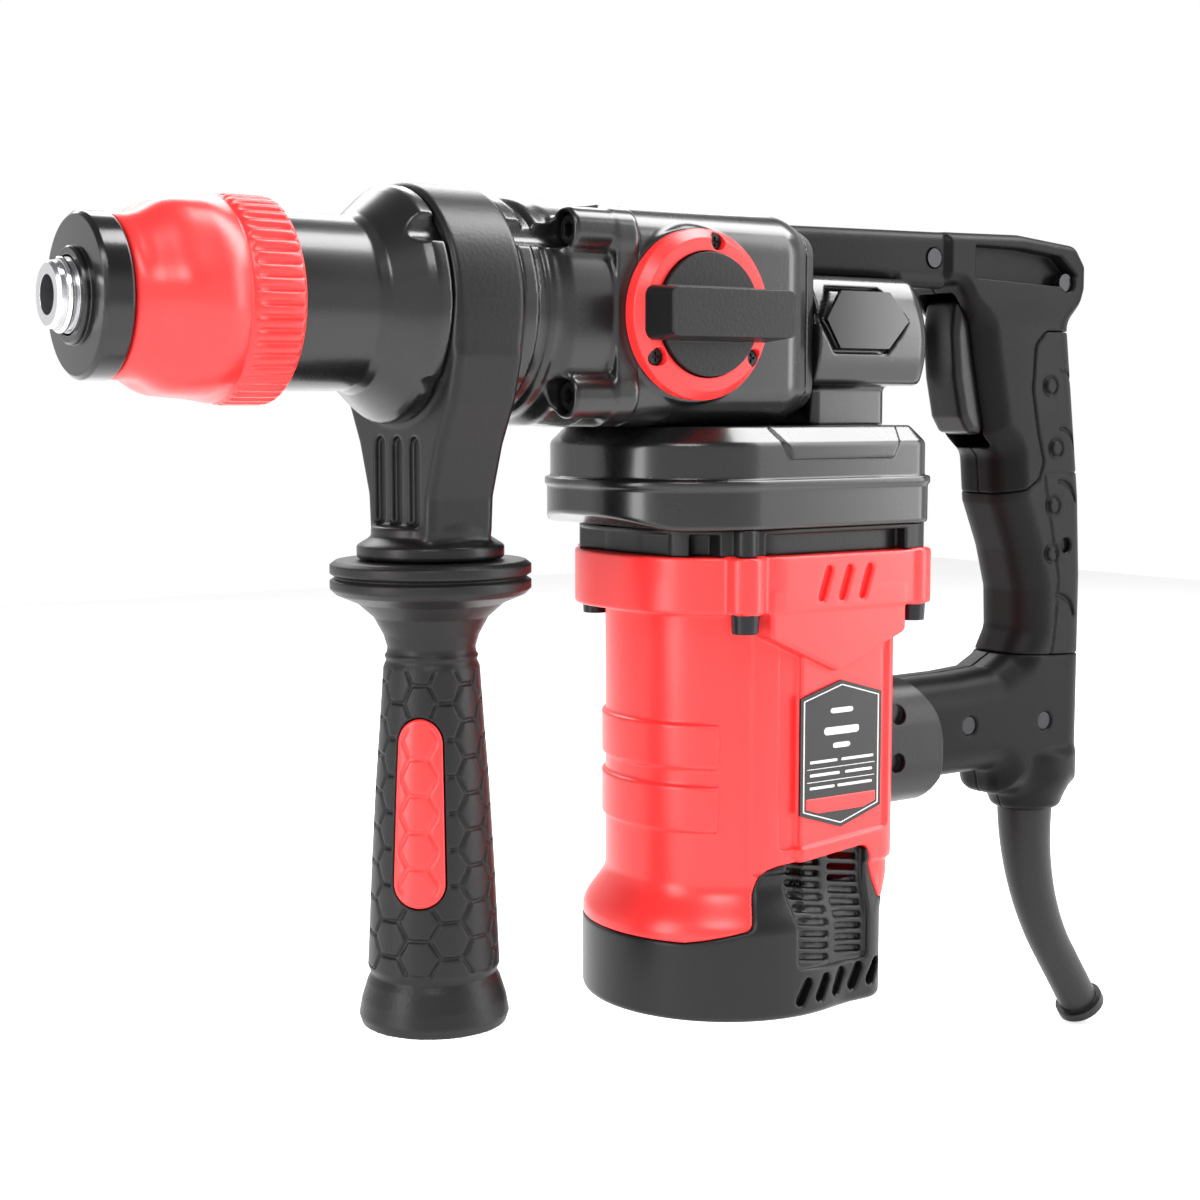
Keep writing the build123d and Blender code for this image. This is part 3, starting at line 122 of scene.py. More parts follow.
def add_world():
    """A white horizon that darkens overhead, so that the lamps draw the highlights."""
    world = bpy.data.worlds.new("studio")
    world.use_nodes = True
    tree = world.node_tree
    place = tree.nodes.new("ShaderNodeTexCoord")
    split = tree.nodes.new("ShaderNodeSeparateXYZ")
    tree.links.new(place.outputs["Generated"], split.inputs["Vector"])
    height = tree.nodes.new("ShaderNodeMapRange")
    height.interpolation_type = "SMOOTHSTEP"
    height.inputs["From Min"].default_value = HORIZON_GLOW[0]
    height.inputs["From Max"].default_value = HORIZON_GLOW[1]
    height.inputs["To Min"].default_value = 1.0
    height.inputs["To Max"].default_value = SKY_STRENGTH
    tree.links.new(split.outputs["Z"], height.inputs["Value"])
    tree.links.new(height.outputs["Result"], tree.nodes["Background"].inputs["Strength"])
    tree.nodes["Background"].inputs["Color"].default_value = (1, 1, 1, 1)
    bpy.context.scene.world = world
    bpy.context.scene.view_settings.view_transform = "Standard"


# ---- Materials -----------------------------------------------------------------------------------
BROAD_SCALE, BROAD_DETAIL = 35.0, 6.0
FINE_SCALE, FINE_DETAIL, FINE_DEPTH = 900.0, 3.0, 0.0004
ROUGHNESS_SPREAD = (0.85, 1.2)
EDGE, FINE_EDGE = 0.0006, 0.0002


def surface(name, colour, roughness, metallic=0.0, grain=0.0, mottle=0.0, edge=0.0,
            coat=0.0, coat_roughness=0.05, brushed=0.0, specular=0.5):
    """A material with colour mottling, roughness variation, a fine surface grain and softened edges."""
    material = bpy.data.materials.new(name)
    material.use_nodes = True
    tree = material.node_tree
    shader = tree.nodes["Principled BSDF"]
    shader.inputs["Base Color"].default_value = (*colour, 1)
    shader.inputs["Metallic"].default_value = metallic
    shader.inputs["Specular IOR Level"].default_value = specular
    shader.inputs["Coat Weight"].default_value = coat
    shader.inputs["Coat Roughness"].default_value = coat_roughness
    place = tree.nodes.new("ShaderNodeTexCoord")
    broad = tree.nodes.new("ShaderNodeTexNoise")
    broad.inputs["Scale"].default_value = BROAD_SCALE
    broad.inputs["Detail"].default_value = BROAD_DETAIL
    tree.links.new(place.outputs["Object"], broad.inputs["Vector"])
    spread = tree.nodes.new("ShaderNodeMapRange")
    spread.inputs["To Min"].default_value = roughness * ROUGHNESS_SPREAD[0]
    spread.inputs["To Max"].default_value = min(1.0, roughness * ROUGHNESS_SPREAD[1])
    tree.links.new(broad.outputs["Fac"], spread.inputs["Value"])
    tree.links.new(spread.outputs["Result"], shader.inputs["Roughness"])
    if mottle:
        tint = tree.nodes.new("ShaderNodeMix")
        tint.data_type = "RGBA"
        tint.inputs["A"].default_value = (*(c * (1 - mottle) for c in colour), 1)
        tint.inputs["B"].default_value = (*(min(1.0, c * (1 + mottle)) for c in colour), 1)
        tree.links.new(broad.outputs["Fac"], tint.inputs["Factor"])
        tree.links.new(tint.outputs["Result"], shader.inputs["Base Color"])
    normal = None
    if edge:
        soften = tree.nodes.new("ShaderNodeBevel")
        soften.samples = 6
        soften.inputs["Radius"].default_value = edge
        normal = soften.outputs["Normal"]
    if grain:
        grain_place = place.outputs["Object"]
        if brushed:
            stretch = tree.nodes.new("ShaderNodeMapping")
            stretch.inputs["Scale"].default_value = (brushed, 1, 1)
            tree.links.new(grain_place, stretch.inputs["Vector"])
            grain_place = stretch.outputs["Vector"]
        fine = tree.nodes.new("ShaderNodeTexNoise")
        fine.inputs["Scale"].default_value = FINE_SCALE
        fine.inputs["Detail"].default_value = FINE_DETAIL
        tree.links.new(grain_place, fine.inputs["Vector"])
        bump = tree.nodes.new("ShaderNodeBump")
        bump.inputs["Strength"].default_value = grain
        bump.inputs["Distance"].default_value = FINE_DEPTH
        tree.links.new(fine.outputs["Fac"], bump.inputs["Height"])
        if normal:
            tree.links.new(normal, bump.inputs["Normal"])
        normal = bump.outputs["Normal"]
    if normal:
        tree.links.new(normal, shader.inputs["Normal"])
    return material


# The record's slots, and three finishes more: handle_plastic, handle_rubber and print.
FINISHES = {
    "black_casting": dict(colour=(0.006, 0.006, 0.0065), roughness=0.27, grain=0.05, mottle=0.2, edge=EDGE,
                          coat=0.25, coat_roughness=0.14, specular=0.45),
    "black_plastic": dict(colour=(0.007, 0.007, 0.0075), roughness=0.34, grain=0.12, mottle=0.2, edge=EDGE,
                          specular=0.3),
    "handle_plastic": dict(colour=(0.006, 0.006, 0.0065), roughness=0.38, grain=0.12, mottle=0.2, edge=EDGE,
                           specular=0.1),
    "handle_rubber": dict(colour=(0.008, 0.008, 0.0085), roughness=0.45, grain=0.2, mottle=0.2, edge=EDGE,
                          specular=0.13),
    "gloss_black": dict(colour=(0.005, 0.005, 0.0055), roughness=0.16, grain=0.02, mottle=0.2, edge=EDGE),
    "red_plastic": dict(colour=(0.92, 0.030, 0.030), roughness=0.3, grain=0.05, mottle=0.05, edge=EDGE),
    "black_rubber": dict(colour=(0.008, 0.008, 0.0085), roughness=0.42, grain=0.2, mottle=0.2, edge=EDGE,
                         specular=0.3),
    "steel": dict(colour=(0.62, 0.62, 0.64), roughness=0.25, metallic=1, grain=0.08, brushed=0.05,
                  edge=FINE_EDGE),
    "hard_steel": dict(colour=(0.4, 0.41, 0.43), roughness=0.3, metallic=1, grain=0.08, edge=FINE_EDGE),
    "chrome": dict(colour=(0.85, 0.85, 0.86), roughness=0.08, metallic=1),
    "black_screw": dict(colour=(0.02, 0.02, 0.022), roughness=0.3, metallic=0.7, grain=0.1, edge=FINE_EDGE),
    "aluminium": dict(colour=(0.66, 0.66, 0.68), roughness=0.4, metallic=1, grain=0.2, mottle=0.1),
    "copper": dict(colour=(0.7, 0.3, 0.12), roughness=0.3, metallic=1, grain=0.3),
    "brass": dict(colour=(0.75, 0.55, 0.22), roughness=0.3, metallic=1, grain=0.1),
    "laminations": dict(colour=(0.3, 0.3, 0.32), roughness=0.45, metallic=1, grain=0.3),
    "carbon": dict(colour=(0.03, 0.03, 0.03), roughness=0.7, grain=0.3),
    "label": dict(colour=(0.006, 0.006, 0.007), roughness=0.14, mottle=0.1),
    "print": dict(colour=(0.7, 0.68, 0.68), roughness=0.4, mottle=0.1),
}
MATERIALS = {name: surface(name, **finish) for name, finish in FINISHES.items()}


def dress_cad():
    """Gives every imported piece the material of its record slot."""
    slot_of = {entry["node"]: entry["material_slot"] for entry in frame["record"]["subparts"]}
    for name, piece in nodes.items():
        piece.data.materials.clear()
        piece.data.materials.append(MATERIALS[slot_of[name]])


# ---- Shapes from distance fields -----------------------------------------------------------------
# A field gives the distance in millimetres from points (x, y, z) to a surface, negative inside it.
# Far from the surface it is only an estimate, and sculpt() leaves out the blocks where it is large.
STEP = 0.55
BLOCK, BLOCK_REACH, BATCH = 4, 1.3, 6000
PULLS, PROBE = 2, 0.05
FAR = 1e3


def mm(node):
    """A CAD node's lowest and highest corners in millimetres."""
    low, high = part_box(node)
    return np.array(low) * 1000, np.array(high) * 1000


def middle(node):
    """A CAD node's middle in millimetres."""
    low, high = mm(node)
    return (low + high) / 2


def all_of(*fields):
    """Where every field is, with sharp edges."""
    return functools.reduce(np.maximum, fields)


def any_of(*fields):
    """Where at least one field is, with sharp corners."""
    return functools.reduce(np.minimum, fields)


def meet(a, b, r=0.0):
    """Where both fields are, its edge rounded to r."""
    return np.minimum(-r, np.maximum(a, b)) + np.hypot(np.maximum(a + r, 0), np.maximum(b + r, 0))


def join(a, b, r=0.0):
    """Where either field is, with a fillet of r between them."""
    return np.maximum(r, np.minimum(a, b)) - np.hypot(np.maximum(r - a, 0), np.maximum(r - b, 0))


def cut(a, b, r=0.0):
    """The first field without the second, its edge rounded to r."""
    return meet(a, -b, r)


def span(u, low, high):
    """The slab from low to high."""
    return np.abs(u - (low + high) / 2) - (high - low) / 2


def smooth_step(u, start, end):
    """Rises smoothly from 0 at start to 1 at end."""
    t = np.clip((u - start) / (end - start), 0, 1)
    return t * t * (3 - 2 * t)


def rectangle(u, v, half_u, half_v, r_low, r_high=None):
    """A rounded rectangle about zero. Its corners at low u may have another radius than those at high u."""
    r = r_low if r_high is None else np.where(u < 0, r_low, r_high)
    a, b = np.abs(u) - half_u + r, np.abs(v) - half_v + r
    return np.minimum(np.maximum(a, b), 0) + np.hypot(np.maximum(a, 0), np.maximum(b, 0)) - r


def polygon(u, v, corners):
    """A closed outline of (u, v) corners."""
    nearest = np.full(np.shape(u), 1e12)
    sign = np.ones(np.shape(u))
    for (u0, v0), (u1, v1) in zip(corners, corners[1:] + corners[:1]):
        along_u, along_v = u1 - u0, v1 - v0
        from_u, from_v = u - u0, v - v0
        length = max(along_u ** 2 + along_v ** 2, 1e-9)
        share = np.clip((from_u * along_u + from_v * along_v) / length, 0, 1)
        nearest = np.minimum(nearest, (from_u - along_u * share) ** 2 + (from_v - along_v * share) ** 2)
        above, below = v >= v0, v < v1
        left = along_u * from_v > along_v * from_u
        sign = np.where((above & below & left) | (~above & ~below & ~left), -sign, sign)
    return sign * np.sqrt(nearest)


def soft_corners(corners, radius):
    """The outline with each corner turned into a short arc."""
    points = []
    count = len(corners)
    for i in range(count):
        before, at, after = (Vector(corners[(i + step) % count]) for step in (-1, 0, 1))
        back, ahead = before - at, after - at
        half = back.angle(ahead) / 2
        reach = min(radius / math.tan(half), back.length * 0.45, ahead.length * 0.45)
        start, end = at + back.normalized() * reach, at + ahead.normalized() * reach
        for share in (0, 0.33, 0.67, 1):
            points.append(tuple(start.lerp(at, share).lerp(at.lerp(end, share), share)))
    return points


def capsule(u, v, centre, length, width, turn):
    """A slot with round ends, its long side turned from the u axis by an angle."""
    du, dv = u - centre[0], v - centre[1]
    along = du * math.cos(turn) + dv * math.sin(turn)
    across = dv * math.cos(turn) - du * math.sin(turn)
    past = np.maximum(np.abs(along) - (length - width) / 2, 0)
    return np.hypot(past, across) - width / 2


def surface_net(values):
    """Corners and faces of the zero surface in a grid of field values, in grid steps."""
    shape = np.array(values.shape)
    inside = values < 0
    rings, crossings = [], []
    for axis in range(3):
        low = [slice(None)] * 3
        high = [slice(None)] * 3
        low[axis], high[axis] = slice(None, -1), slice(1, None)
        edge = np.stack(np.nonzero(inside[tuple(low)] != inside[tuple(high)]), 1)
        other = edge.copy()
        other[:, axis] += 1
        here, there = values[tuple(edge.T)], values[tuple(other.T)]
        point = edge.astype(float)
        point[:, axis] += here / (here - there)
        u, v = (axis + 1) % 3, (axis + 2) % 3
        ring = []
        for du, dv in ((0, 0), (-1, 0), (-1, -1), (0, -1)):
            cell = edge.copy()
            cell[:, u] += du
            cell[:, v] += dv
            ring.append(np.ravel_multi_index(tuple(cell.T), shape))
        ring = np.stack(ring, 1)
        rings.append(np.where((here < 0)[:, None], ring, ring[:, ::-1]))
        crossings.append(point)
    cells = np.concatenate([ring.ravel() for ring in rings])
    points = np.concatenate([np.repeat(point, 4, 0) for point in crossings])
    index = np.unique(cells, return_inverse=True)[1]
    count = np.bincount(index)
    corners = np.stack([np.bincount(index, points[:, i]) / count for i in range(3)], 1)
    return corners, index.reshape(-1, 4)


def sculpt(name, field, low, high, step=None):
    """A mesh object of the field's zero surface between two corners in millimetres."""
    step = step or STEP
    low = np.array(low, float) - 2 * step
    blocks = np.ceil((np.array(high, float) + 2 * step - low) / (step * BLOCK)).astype(int)
    index = np.stack(np.meshgrid(*(np.arange(n) for n in blocks), indexing="ij"), -1).reshape(-1, 3)
    centres = low + (index + 0.5 - 0.5 / BLOCK) * BLOCK * step
    rough = field(*centres.T)
    values = np.repeat(np.repeat(np.repeat(rough.reshape(blocks), BLOCK, 0), BLOCK, 1), BLOCK, 2)
    near = index[np.abs(rough) < BLOCK * step * BLOCK_REACH]
    offsets = np.stack(np.meshgrid(*(np.arange(BLOCK),) * 3, indexing="ij"), -1).reshape(-1, 3)
    for start in range(0, len(near), BATCH):
        grid = (near[start:start + BATCH, None] * BLOCK + offsets).reshape(-1, 3)
        values[tuple(grid.T)] = field(*(low + grid * step).T)
    corners, faces = surface_net(values)
    corners = low + corners * step
    for _ in range(PULLS):
        here = field(*corners.T)
        slope = np.stack([field(*(corners + offset).T) - here for offset in np.eye(3) * PROBE], 1) / PROBE
        move = (here / np.maximum((slope ** 2).sum(1), 0.25))[:, None] * slope
        corners -= np.clip(move, -0.4 * step, 0.4 * step)
    return add_mesh(name, corners / 1000, faces)


def add_mesh(name, corners, faces):
    """A smooth-shaded mesh object from arrays of corners in metres and of quads."""
    mesh = bpy.data.meshes.new(name)
    mesh.vertices.add(len(corners))
    mesh.vertices.foreach_set("co", np.asarray(corners, np.float32).ravel())
    mesh.loops.add(faces.size)
    mesh.loops.foreach_set("vertex_index", faces.astype(np.int32).ravel())
    mesh.polygons.add(len(faces))
    mesh.polygons.foreach_set("loop_start", np.arange(0, faces.size, 4, dtype=np.int32))
    mesh.polygons.foreach_set("use_smooth", np.ones(len(faces), bool))
    mesh.update(calc_edges=True)
    mesh.validate()
    piece = bpy.data.objects.new(name, mesh)
    bpy.context.collection.objects.link(piece)
    return piece


def finish_piece(piece, body, slot, *replaced, finish=None):
    """Gives a piece its body and the finish of its slot or another, and hides the CAD nodes it stands for.
    """
    piece.data.materials.append(MATERIALS[finish or slot])
    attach(piece, body)
    if replaced:
        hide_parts(*replaced)
    return piece


# ---- Rear handle ---------------------------------------------------------------------------------
HANDLE_OUTLINE = [
    (224, 12), (224, 27.5), (298, 28.5), (325, 29), (352, 26.5), (357, 20), (357, 12), (353.5, 2),
    (357.5, -30), (361, -58), (362.5, -85), (362.5, -160), (324, -160), (322, -150.5), (262, -150.5),
    (262, -117), (305, -116.5), (320, -115.5), (329, -111), (333.5, -103), (333, -90), (329, -76),
    (322, -60), (320.5, -44), (313.5, -38), (308, -14), (305, 2), (298, 12)]
RUBBER_OUTLINE = [
    (372, -2.5), (338, -2.5), (333, -7), (332, -22), (335, -36), (338, -46), (336, -52), (330, -55.5),
    (318, -57.5), (300, -57), (300, -110), (372, -113)]
HEAD_POCKET = [(303.5, 24.6), (303.5, 14.2), (345, 12.5), (351, 16.5), (343, 22.6), (325, 24.4)]
HANDLE_CORNERS = soft_corners(HANDLE_OUTLINE, 4.0)
RUBBER_CORNERS = soft_corners(RUBBER_OUTLINE, 4.0)
PARTING_LINE = [(338, -50), (346, -86), (345, -101), (342, -120), (400, -120), (400, -50)]
ARM_END_X, HEAD_FOOT, HEAD_FULL, POCKET_Y = 291.5, -2, 9, 9.5
GRIP_HALF, HEAD_WIDER, ARM_NARROWER = 14.2, 0.8, 1.8
GRIP_ROUNDING, HEAD_SHARPER = 10.5, 6.5
LIP_MIDDLE, LIP_HALF, LIP_R = (281, 11.0, 12.5), 9, 2.4
GUARD_X = mm("cord_guard")[0][0] + 9.4
CUP_R, CUP_TAPER, CUP_LOW, CUP_HIGH = 16.2, 4.2, -166.5, -146
GUARD_HOLE_R, GUARD_HOLE_TOP = 8.0, -157.5
WINDOW_LOW, WINDOW_HIGH, WINDOW_HALF = (290, -41), (324, 9.5), 8.4
HANDLE_HALF, HANDLE_LOW, HANDLE_HIGH = 17.5, (222, -168), (364, 29.5)
RUBBER_LOW, RUBBER_HIGH = (318, -116), (364, 0)
HANDLE_SCREWS = [(347, 14), (341, -134.5), (305, -133), (286, 19.8)]
SCREW_BOSS_R, SCREW_HEAD_R, SCREW_SEAT_Y = 4.5, 3.2, -11.5
RUBBER_BUMPS = [(340.2, -20.6), (343.6, -41.6), (342.7, -61.0), (342.5, -77.2)]
BUMP_R, BUMP_RISE, BUMP_RING_R = 2.2, 0.7, 2.9
RUBBER_CRESCENTS = [-23.5, -43.3, -61.2, -100.0]
CRESCENT_X, CRESCENT_R, CRESCENT_WIDTH, CRESCENT_DEPTH = 346, 9, 1.2, 1.1
DIMPLE_AT, DIMPLE_R = (349.6, -74.7), 2.6
RUBBER_MIDDLE, LINE_HALF, LINE_DEPTH = 6, 0.35, 0.5
SHELL_WALL, SKIN = 3.4, 1.8


def handle_form(x, y, z):
    """The whole rear handle, its grip rounder than its head and arm."""
    side = np.abs(y)
    head = smooth_step(z, HEAD_FOOT, HEAD_FULL)
    arm = 1 - smooth_step(x, ARM_END_X - 1.2, ARM_END_X + 1.2)
    half = GRIP_HALF + HEAD_WIDER * head - ARM_NARROWER * arm * head
    form = meet(polygon(x, z, HANDLE_CORNERS), side - half, GRIP_ROUNDING - HEAD_SHARPER * head)
    past_lip = np.maximum(np.abs(x - LIP_MIDDLE[0]) - LIP_HALF, 0)
    lip = np.hypot(past_lip, np.hypot(side - LIP_MIDDLE[1], z - LIP_MIDDLE[2])) - LIP_R
    form = join(form, lip, 1.0)
    cup_r = CUP_R - CUP_TAPER * smooth_step(z, -154, -167)
    cup = meet(np.hypot(x - GUARD_X, y) - cup_r, span(z, CUP_LOW, CUP_HIGH), 2.0)
    return join(form, cup, 2.5)


def handle_hollow(x, y, z):
    """What the two shells leave free: the inside, the trigger's window and the cord guard's hole."""
    inside = all_of(handle_form(x, y, z) + SHELL_WALL, 2.0 - polygon(x, z, HEAD_POCKET))
    for hole_x, hole_z in HANDLE_SCREWS:
        inside = all_of(inside, SCREW_BOSS_R - np.hypot(x - hole_x, z - hole_z))
    width = all_of(span(x, WINDOW_LOW[0], WINDOW_HIGH[0]), np.abs(y) - WINDOW_HALF)
    window = meet(width, span(z, WINDOW_LOW[1], WINDOW_HIGH[1]), 1.5)
    guard = all_of(np.hypot(x - GUARD_X, y) - GUARD_HOLE_R, z - GUARD_HOLE_TOP)
    return any_of(inside, window, guard)


def shell_field(side):
    """The field of one shell, on the side of positive or negative y."""
    def field(x, y, z):
        form = handle_form(x, y, z)
        rubber_seat = all_of(polygon(x, z, RUBBER_CORNERS) - 0.3, -(form + SKIN))
        form = cut(form, all_of(polygon(x, z, HEAD_POCKET), POCKET_Y - np.abs(y)), 0.8)
        form = cut(form, rubber_seat, 0.3)
        for hole_x, hole_z in HANDLE_SCREWS:
            bore = all_of(np.hypot(x - hole_x, z - hole_z) - SCREW_HEAD_R, y - SCREW_SEAT_Y)
            form = cut(form, bore, 0.4)
        return meet(cut(form, handle_hollow(x, y, z)), -side * y, 0.4)
    return field


def rubber_field(x, y, z):
    """The rubber on the grip: bumps in ring grooves, crescents and a fine line along its side."""
    form = handle_form(x, y, z)
    middle_strip = RUBBER_MIDDLE - np.abs(y)
    skin = form
    for bump_x, bump_z in RUBBER_BUMPS:
        place = np.hypot(x - bump_x, z - bump_z)
        ring = all_of(np.abs(place - BUMP_RING_R) - 0.5, middle_strip, -0.6 - form)
        bump = all_of(place - BUMP_R, form - BUMP_RISE, middle_strip)
        skin = join(cut(skin, ring, 0.2), bump, 0.3)
    for low in RUBBER_CRESCENTS:
        crescent = all_of(np.hypot(x - CRESCENT_X, z - low) - CRESCENT_R,
                          CRESCENT_R - np.hypot(x - CRESCENT_X + CRESCENT_WIDTH, z - low + CRESCENT_WIDTH),
                          CRESCENT_X - 1 - x, low + 1 - z, -CRESCENT_DEPTH - form)
        skin = cut(skin, crescent, 0.25)
    dimple = np.hypot(x - DIMPLE_AT[0], z - DIMPLE_AT[1]) - DIMPLE_R + np.maximum(y, 0)
    skin = cut(skin, dimple, 0.3)
    line = np.abs(polygon(x, z, PARTING_LINE)) - LINE_HALF
    skin = cut(skin, all_of(line, -LINE_DEPTH - form), 0.2)
    return cut(meet(skin, polygon(x, z, RUBBER_CORNERS), 0.7), form + SKIN)


def add_handle():
    for name in ("handle_left", "handle_right"):
        box_low, box_high = mm(name)
        side = math.copysign(1, box_low[1] + box_high[1])
        y_low, y_high = sorted((0, side * HANDLE_HALF))
        low = (HANDLE_LOW[0], y_low, HANDLE_LOW[1])
        high = (HANDLE_HIGH[0], y_high, HANDLE_HIGH[1])
        shell = sculpt(name + "_shell", shell_field(side), low, high)
        finish_piece(shell, "housing", "black_plastic", name, finish="handle_plastic")
    low = (RUBBER_LOW[0], -HANDLE_HALF, RUBBER_LOW[1])
    high = (RUBBER_HIGH[0], HANDLE_HALF, RUBBER_HIGH[1])
    skin = sculpt("handle_rubber", rubber_field, low, high)
    finish_piece(skin, "housing", "black_rubber", "handle_grip", finish="handle_rubber")


# ---- Side handle ---------------------------------------------------------------------------------
GRIP_X, GRIP_Y = middle("side_grip")[:2]
GRIP_PROFILE = [
    (0, -69.6), (26.4, -69.6), (28.0, -70.8), (28.0, -73.2), (26.4, -74.2), (28.0, -75.2), (28.0, -77.4),
    (26.4, -79.0), (20.5, -81.5), (16.0, -85.5), (13.3, -90.5), (12.3, -94.0), (12.5, -95.4),
    (13.1, -96.2), (12.7, -97.6), (13.5, -99.5), (14.6, -115), (15.9, -132), (17.3, -156), (18.6, -184),
    (17.7, -186.2), (18.8, -188.4), (20.4, -193.5), (21.2, -198.0), (20.4, -200.5), (0, -200.5)]
HEX_SIDE = 5.8
HEX_TOP, HEX_BOTTOM, HEX_DEPTH, HEX_GROOVE = -99.5, -183.5, 0.75, (0.28, 0.75)
ROD_BORE_R, ROD_BORE_LOW = 4.1, -114
PILL_LOW, PILL_HIGH = mm("side_grip_insert")
PILL_Z = middle("side_grip_insert")[2]
PILL_LENGTH = PILL_HIGH[2] - PILL_LOW[2]
PILL_WIDTH, PILL_R, PILL_DEPTH = 13.5, 15.5, 1.5
PILL_ANGLE = math.radians(-90 - 44)


def hexagon_edge(u, v):
    """How far a point is from the nearest edge of a honeycomb with level edges."""
    pitch_u, pitch_v = 3 * HEX_SIDE, math.sqrt(3) * HEX_SIDE
    nearest = np.full(np.shape(u), FAR)
    for shift in (0, 0.5):
        du = np.abs((u / pitch_u + shift) % 1 - 0.5) * pitch_u
        dv = np.abs((v / pitch_v + shift) % 1 - 0.5) * pitch_v
        nearest = np.minimum(nearest, np.maximum(dv, dv / 2 + du * math.sqrt(3) / 2))
    return pitch_v / 2 - nearest


def grip_form(x, y, z):
    """The grip's turned shape, with two flanges at its top."""
    return polygon(np.hypot(x - GRIP_X, y - GRIP_Y), z, GRIP_PROFILE)


def pill(x, y, z):
    """The long outline of the red insert, wrapped round the grip."""
    turn = (np.arctan2(y - GRIP_Y, x - GRIP_X) - PILL_ANGLE + math.pi) % (2 * math.pi) - math.pi
    return capsule(turn * PILL_R, z, (0, PILL_Z), PILL_LENGTH, PILL_WIDTH, math.pi / 2)


def honeycomb(x, y, z):
    """1 in the middle of the honeycomb's grooves and 0 beside them, with twelve columns of cells round."""
    turn = np.arctan2(y - GRIP_Y, x - GRIP_X) - PILL_ANGLE
    edge = hexagon_edge(turn / (math.pi / 6) * 1.5 * HEX_SIDE, z - PILL_Z)
    return 1 - smooth_step(edge, *HEX_GROOVE)


def grip_field(x, y, z):
    form = grip_form(x, y, z)
    inset = pill(x, y, z)
    insert_seat = all_of(inset - 0.4, -(form + PILL_DEPTH))
    waist = smooth_step(z, HEX_BOTTOM - 0.4, HEX_BOTTOM + 0.4)
    waist = waist * (1 - smooth_step(z, HEX_TOP - 0.4, HEX_TOP + 0.4))
    form = form + HEX_DEPTH * honeycomb(x, y, z) * waist * smooth_step(inset, 0.8, 1.4)
    rod_bore = all_of(np.hypot(x - GRIP_X, y - GRIP_Y) - ROD_BORE_R, ROD_BORE_LOW - z)
    return cut(cut(form, insert_seat, 0.3), rod_bore)


def insert_field(x, y, z):
    form = grip_form(x, y, z)
    outline = pill(x, y, z)
    face = form - 0.35 + 0.5 * honeycomb(x, y, z) * (1 - smooth_step(outline, -1.6, -1.2))
    return cut(meet(face, outline, 0.7), form + PILL_DEPTH)


def add_side_grip():
    low, high = mm("side_grip")
    fine = STEP * 0.8
    grip = sculpt("side_grip_honeycomb", grip_field, low, high, fine)
    finish_piece(grip, "side_grip", "black_rubber", "side_grip")
    insert = sculpt("side_grip_red_inlay", insert_field, PILL_LOW - 1, PILL_HIGH + 1, fine * 0.8)
    finish_piece(insert, "side_grip", "red_plastic", "side_grip_insert")


# ---- Clamp of the side handle --------------------------------------------------------------------
CLAMP_LOW, CLAMP_HIGH = mm("side_clamp")
YOKE_OUTLINE = [(-32.6, 2), (-32.6, -14), (-29, -26), (-22.5, -38), (-17.5, -52), (-16.5, -66), (16.5, -66),
                (17.5, -52), (22.5, -38), (29, -26), (32.6, -14), (32.6, 2)]
YOKE_CORNERS = soft_corners(YOKE_OUTLINE, 5.0)
CLAMP_X0, CLAMP_X1 = GRIP_X - 10.6, GRIP_X + 10.6
RING_R, SEAT_R, ROD_R = 33, 29.6, 4.0
FLUTES, FLUTE_LENGTH, FLUTE_WIDTH, FLUTE_DEPTH = (-9.5, 0, 9.5), 27, 5.8, 1.5
FLUTE_Z, FOOT_TOP, ROD_HOLE_TOP = -49, -60, -40
STEM_R, FOOT_WIDER = 16.5, 4.0


def clamp_field(x, y, z):
    """A ring and its yoke in one casting, fluted down both faces, on a round foot."""
    width = span(x, CLAMP_X0, CLAMP_X1)
    form = meet(polygon(y, z, YOKE_CORNERS), width, 2.5)
    for flute_y in FLUTES:
        groove = capsule(y, z, (flute_y, FLUTE_Z), FLUTE_LENGTH, FLUTE_WIDTH, math.pi / 2)
        form = cut(form, all_of(groove, -width - FLUTE_DEPTH), 0.6)
    axis, rod = np.hypot(y, z), np.hypot(x - GRIP_X, y)
    form = join(form, meet(axis - RING_R, width, 1.5), 1.5)
    stem_r = STEM_R + FOOT_WIDER * smooth_step(z, -62.5, -66)
    form = join(form, meet(rod - stem_r, span(z, CLAMP_LOW[2], FOOT_TOP), 1.2), 2.0)
    form = cut(form, axis - SEAT_R, 0.4)
    return cut(form, all_of(rod - ROD_R, z - ROD_HOLE_TOP))


def add_clamp():
    clamp = sculpt("side_clamp_casting", clamp_field, CLAMP_LOW, CLAMP_HIGH)
    finish_piece(clamp, "side_clamp", "black_plastic", "side_clamp")


# ---- Motor housing and end cap -------------------------------------------------------------------
MOTOR_X = middle("rotor_shaft")[0]
HOUSING_LOW, HOUSING_HIGH = mm("motor_housing")
CAP_LOW, CAP_HIGH = mm("motor_end_cap")
MOTOR_R, BASE_R, SIDE_HALF, BASE_HALF = 36.0, 43.0, 38.0, 40.5
REAR_X, BASE_REAR = 250.0, 245.0
FLARE_Z0, FLARE_Z1, CAP_TOP = -168.0, -182.0, -184.0
COLLAR_X0, COLLAR_X1, COLLAR_HALF, COLLAR_Z = 167.6, 262.4, 41.4, -87.0
MOTOR_WALL, THROAT_R, MOUTH_R = 3.2, 33, 35.5
CAP_EDGE = soft_corners([
    (120, CAP_TOP), (177, CAP_TOP), (192.5, -180), (199.5, -164), (203.5, -162.8), (236.5, -159.5),
    (241, -177), (290, -177), (290, -230), (120, -230)], 3.0)
APRON = soft_corners([(196.5, -80), (196.5, -94), (222.5, -105.5), (249.5, -95), (249.5, -80)], 2.0)
APRON_FACE = 41.2
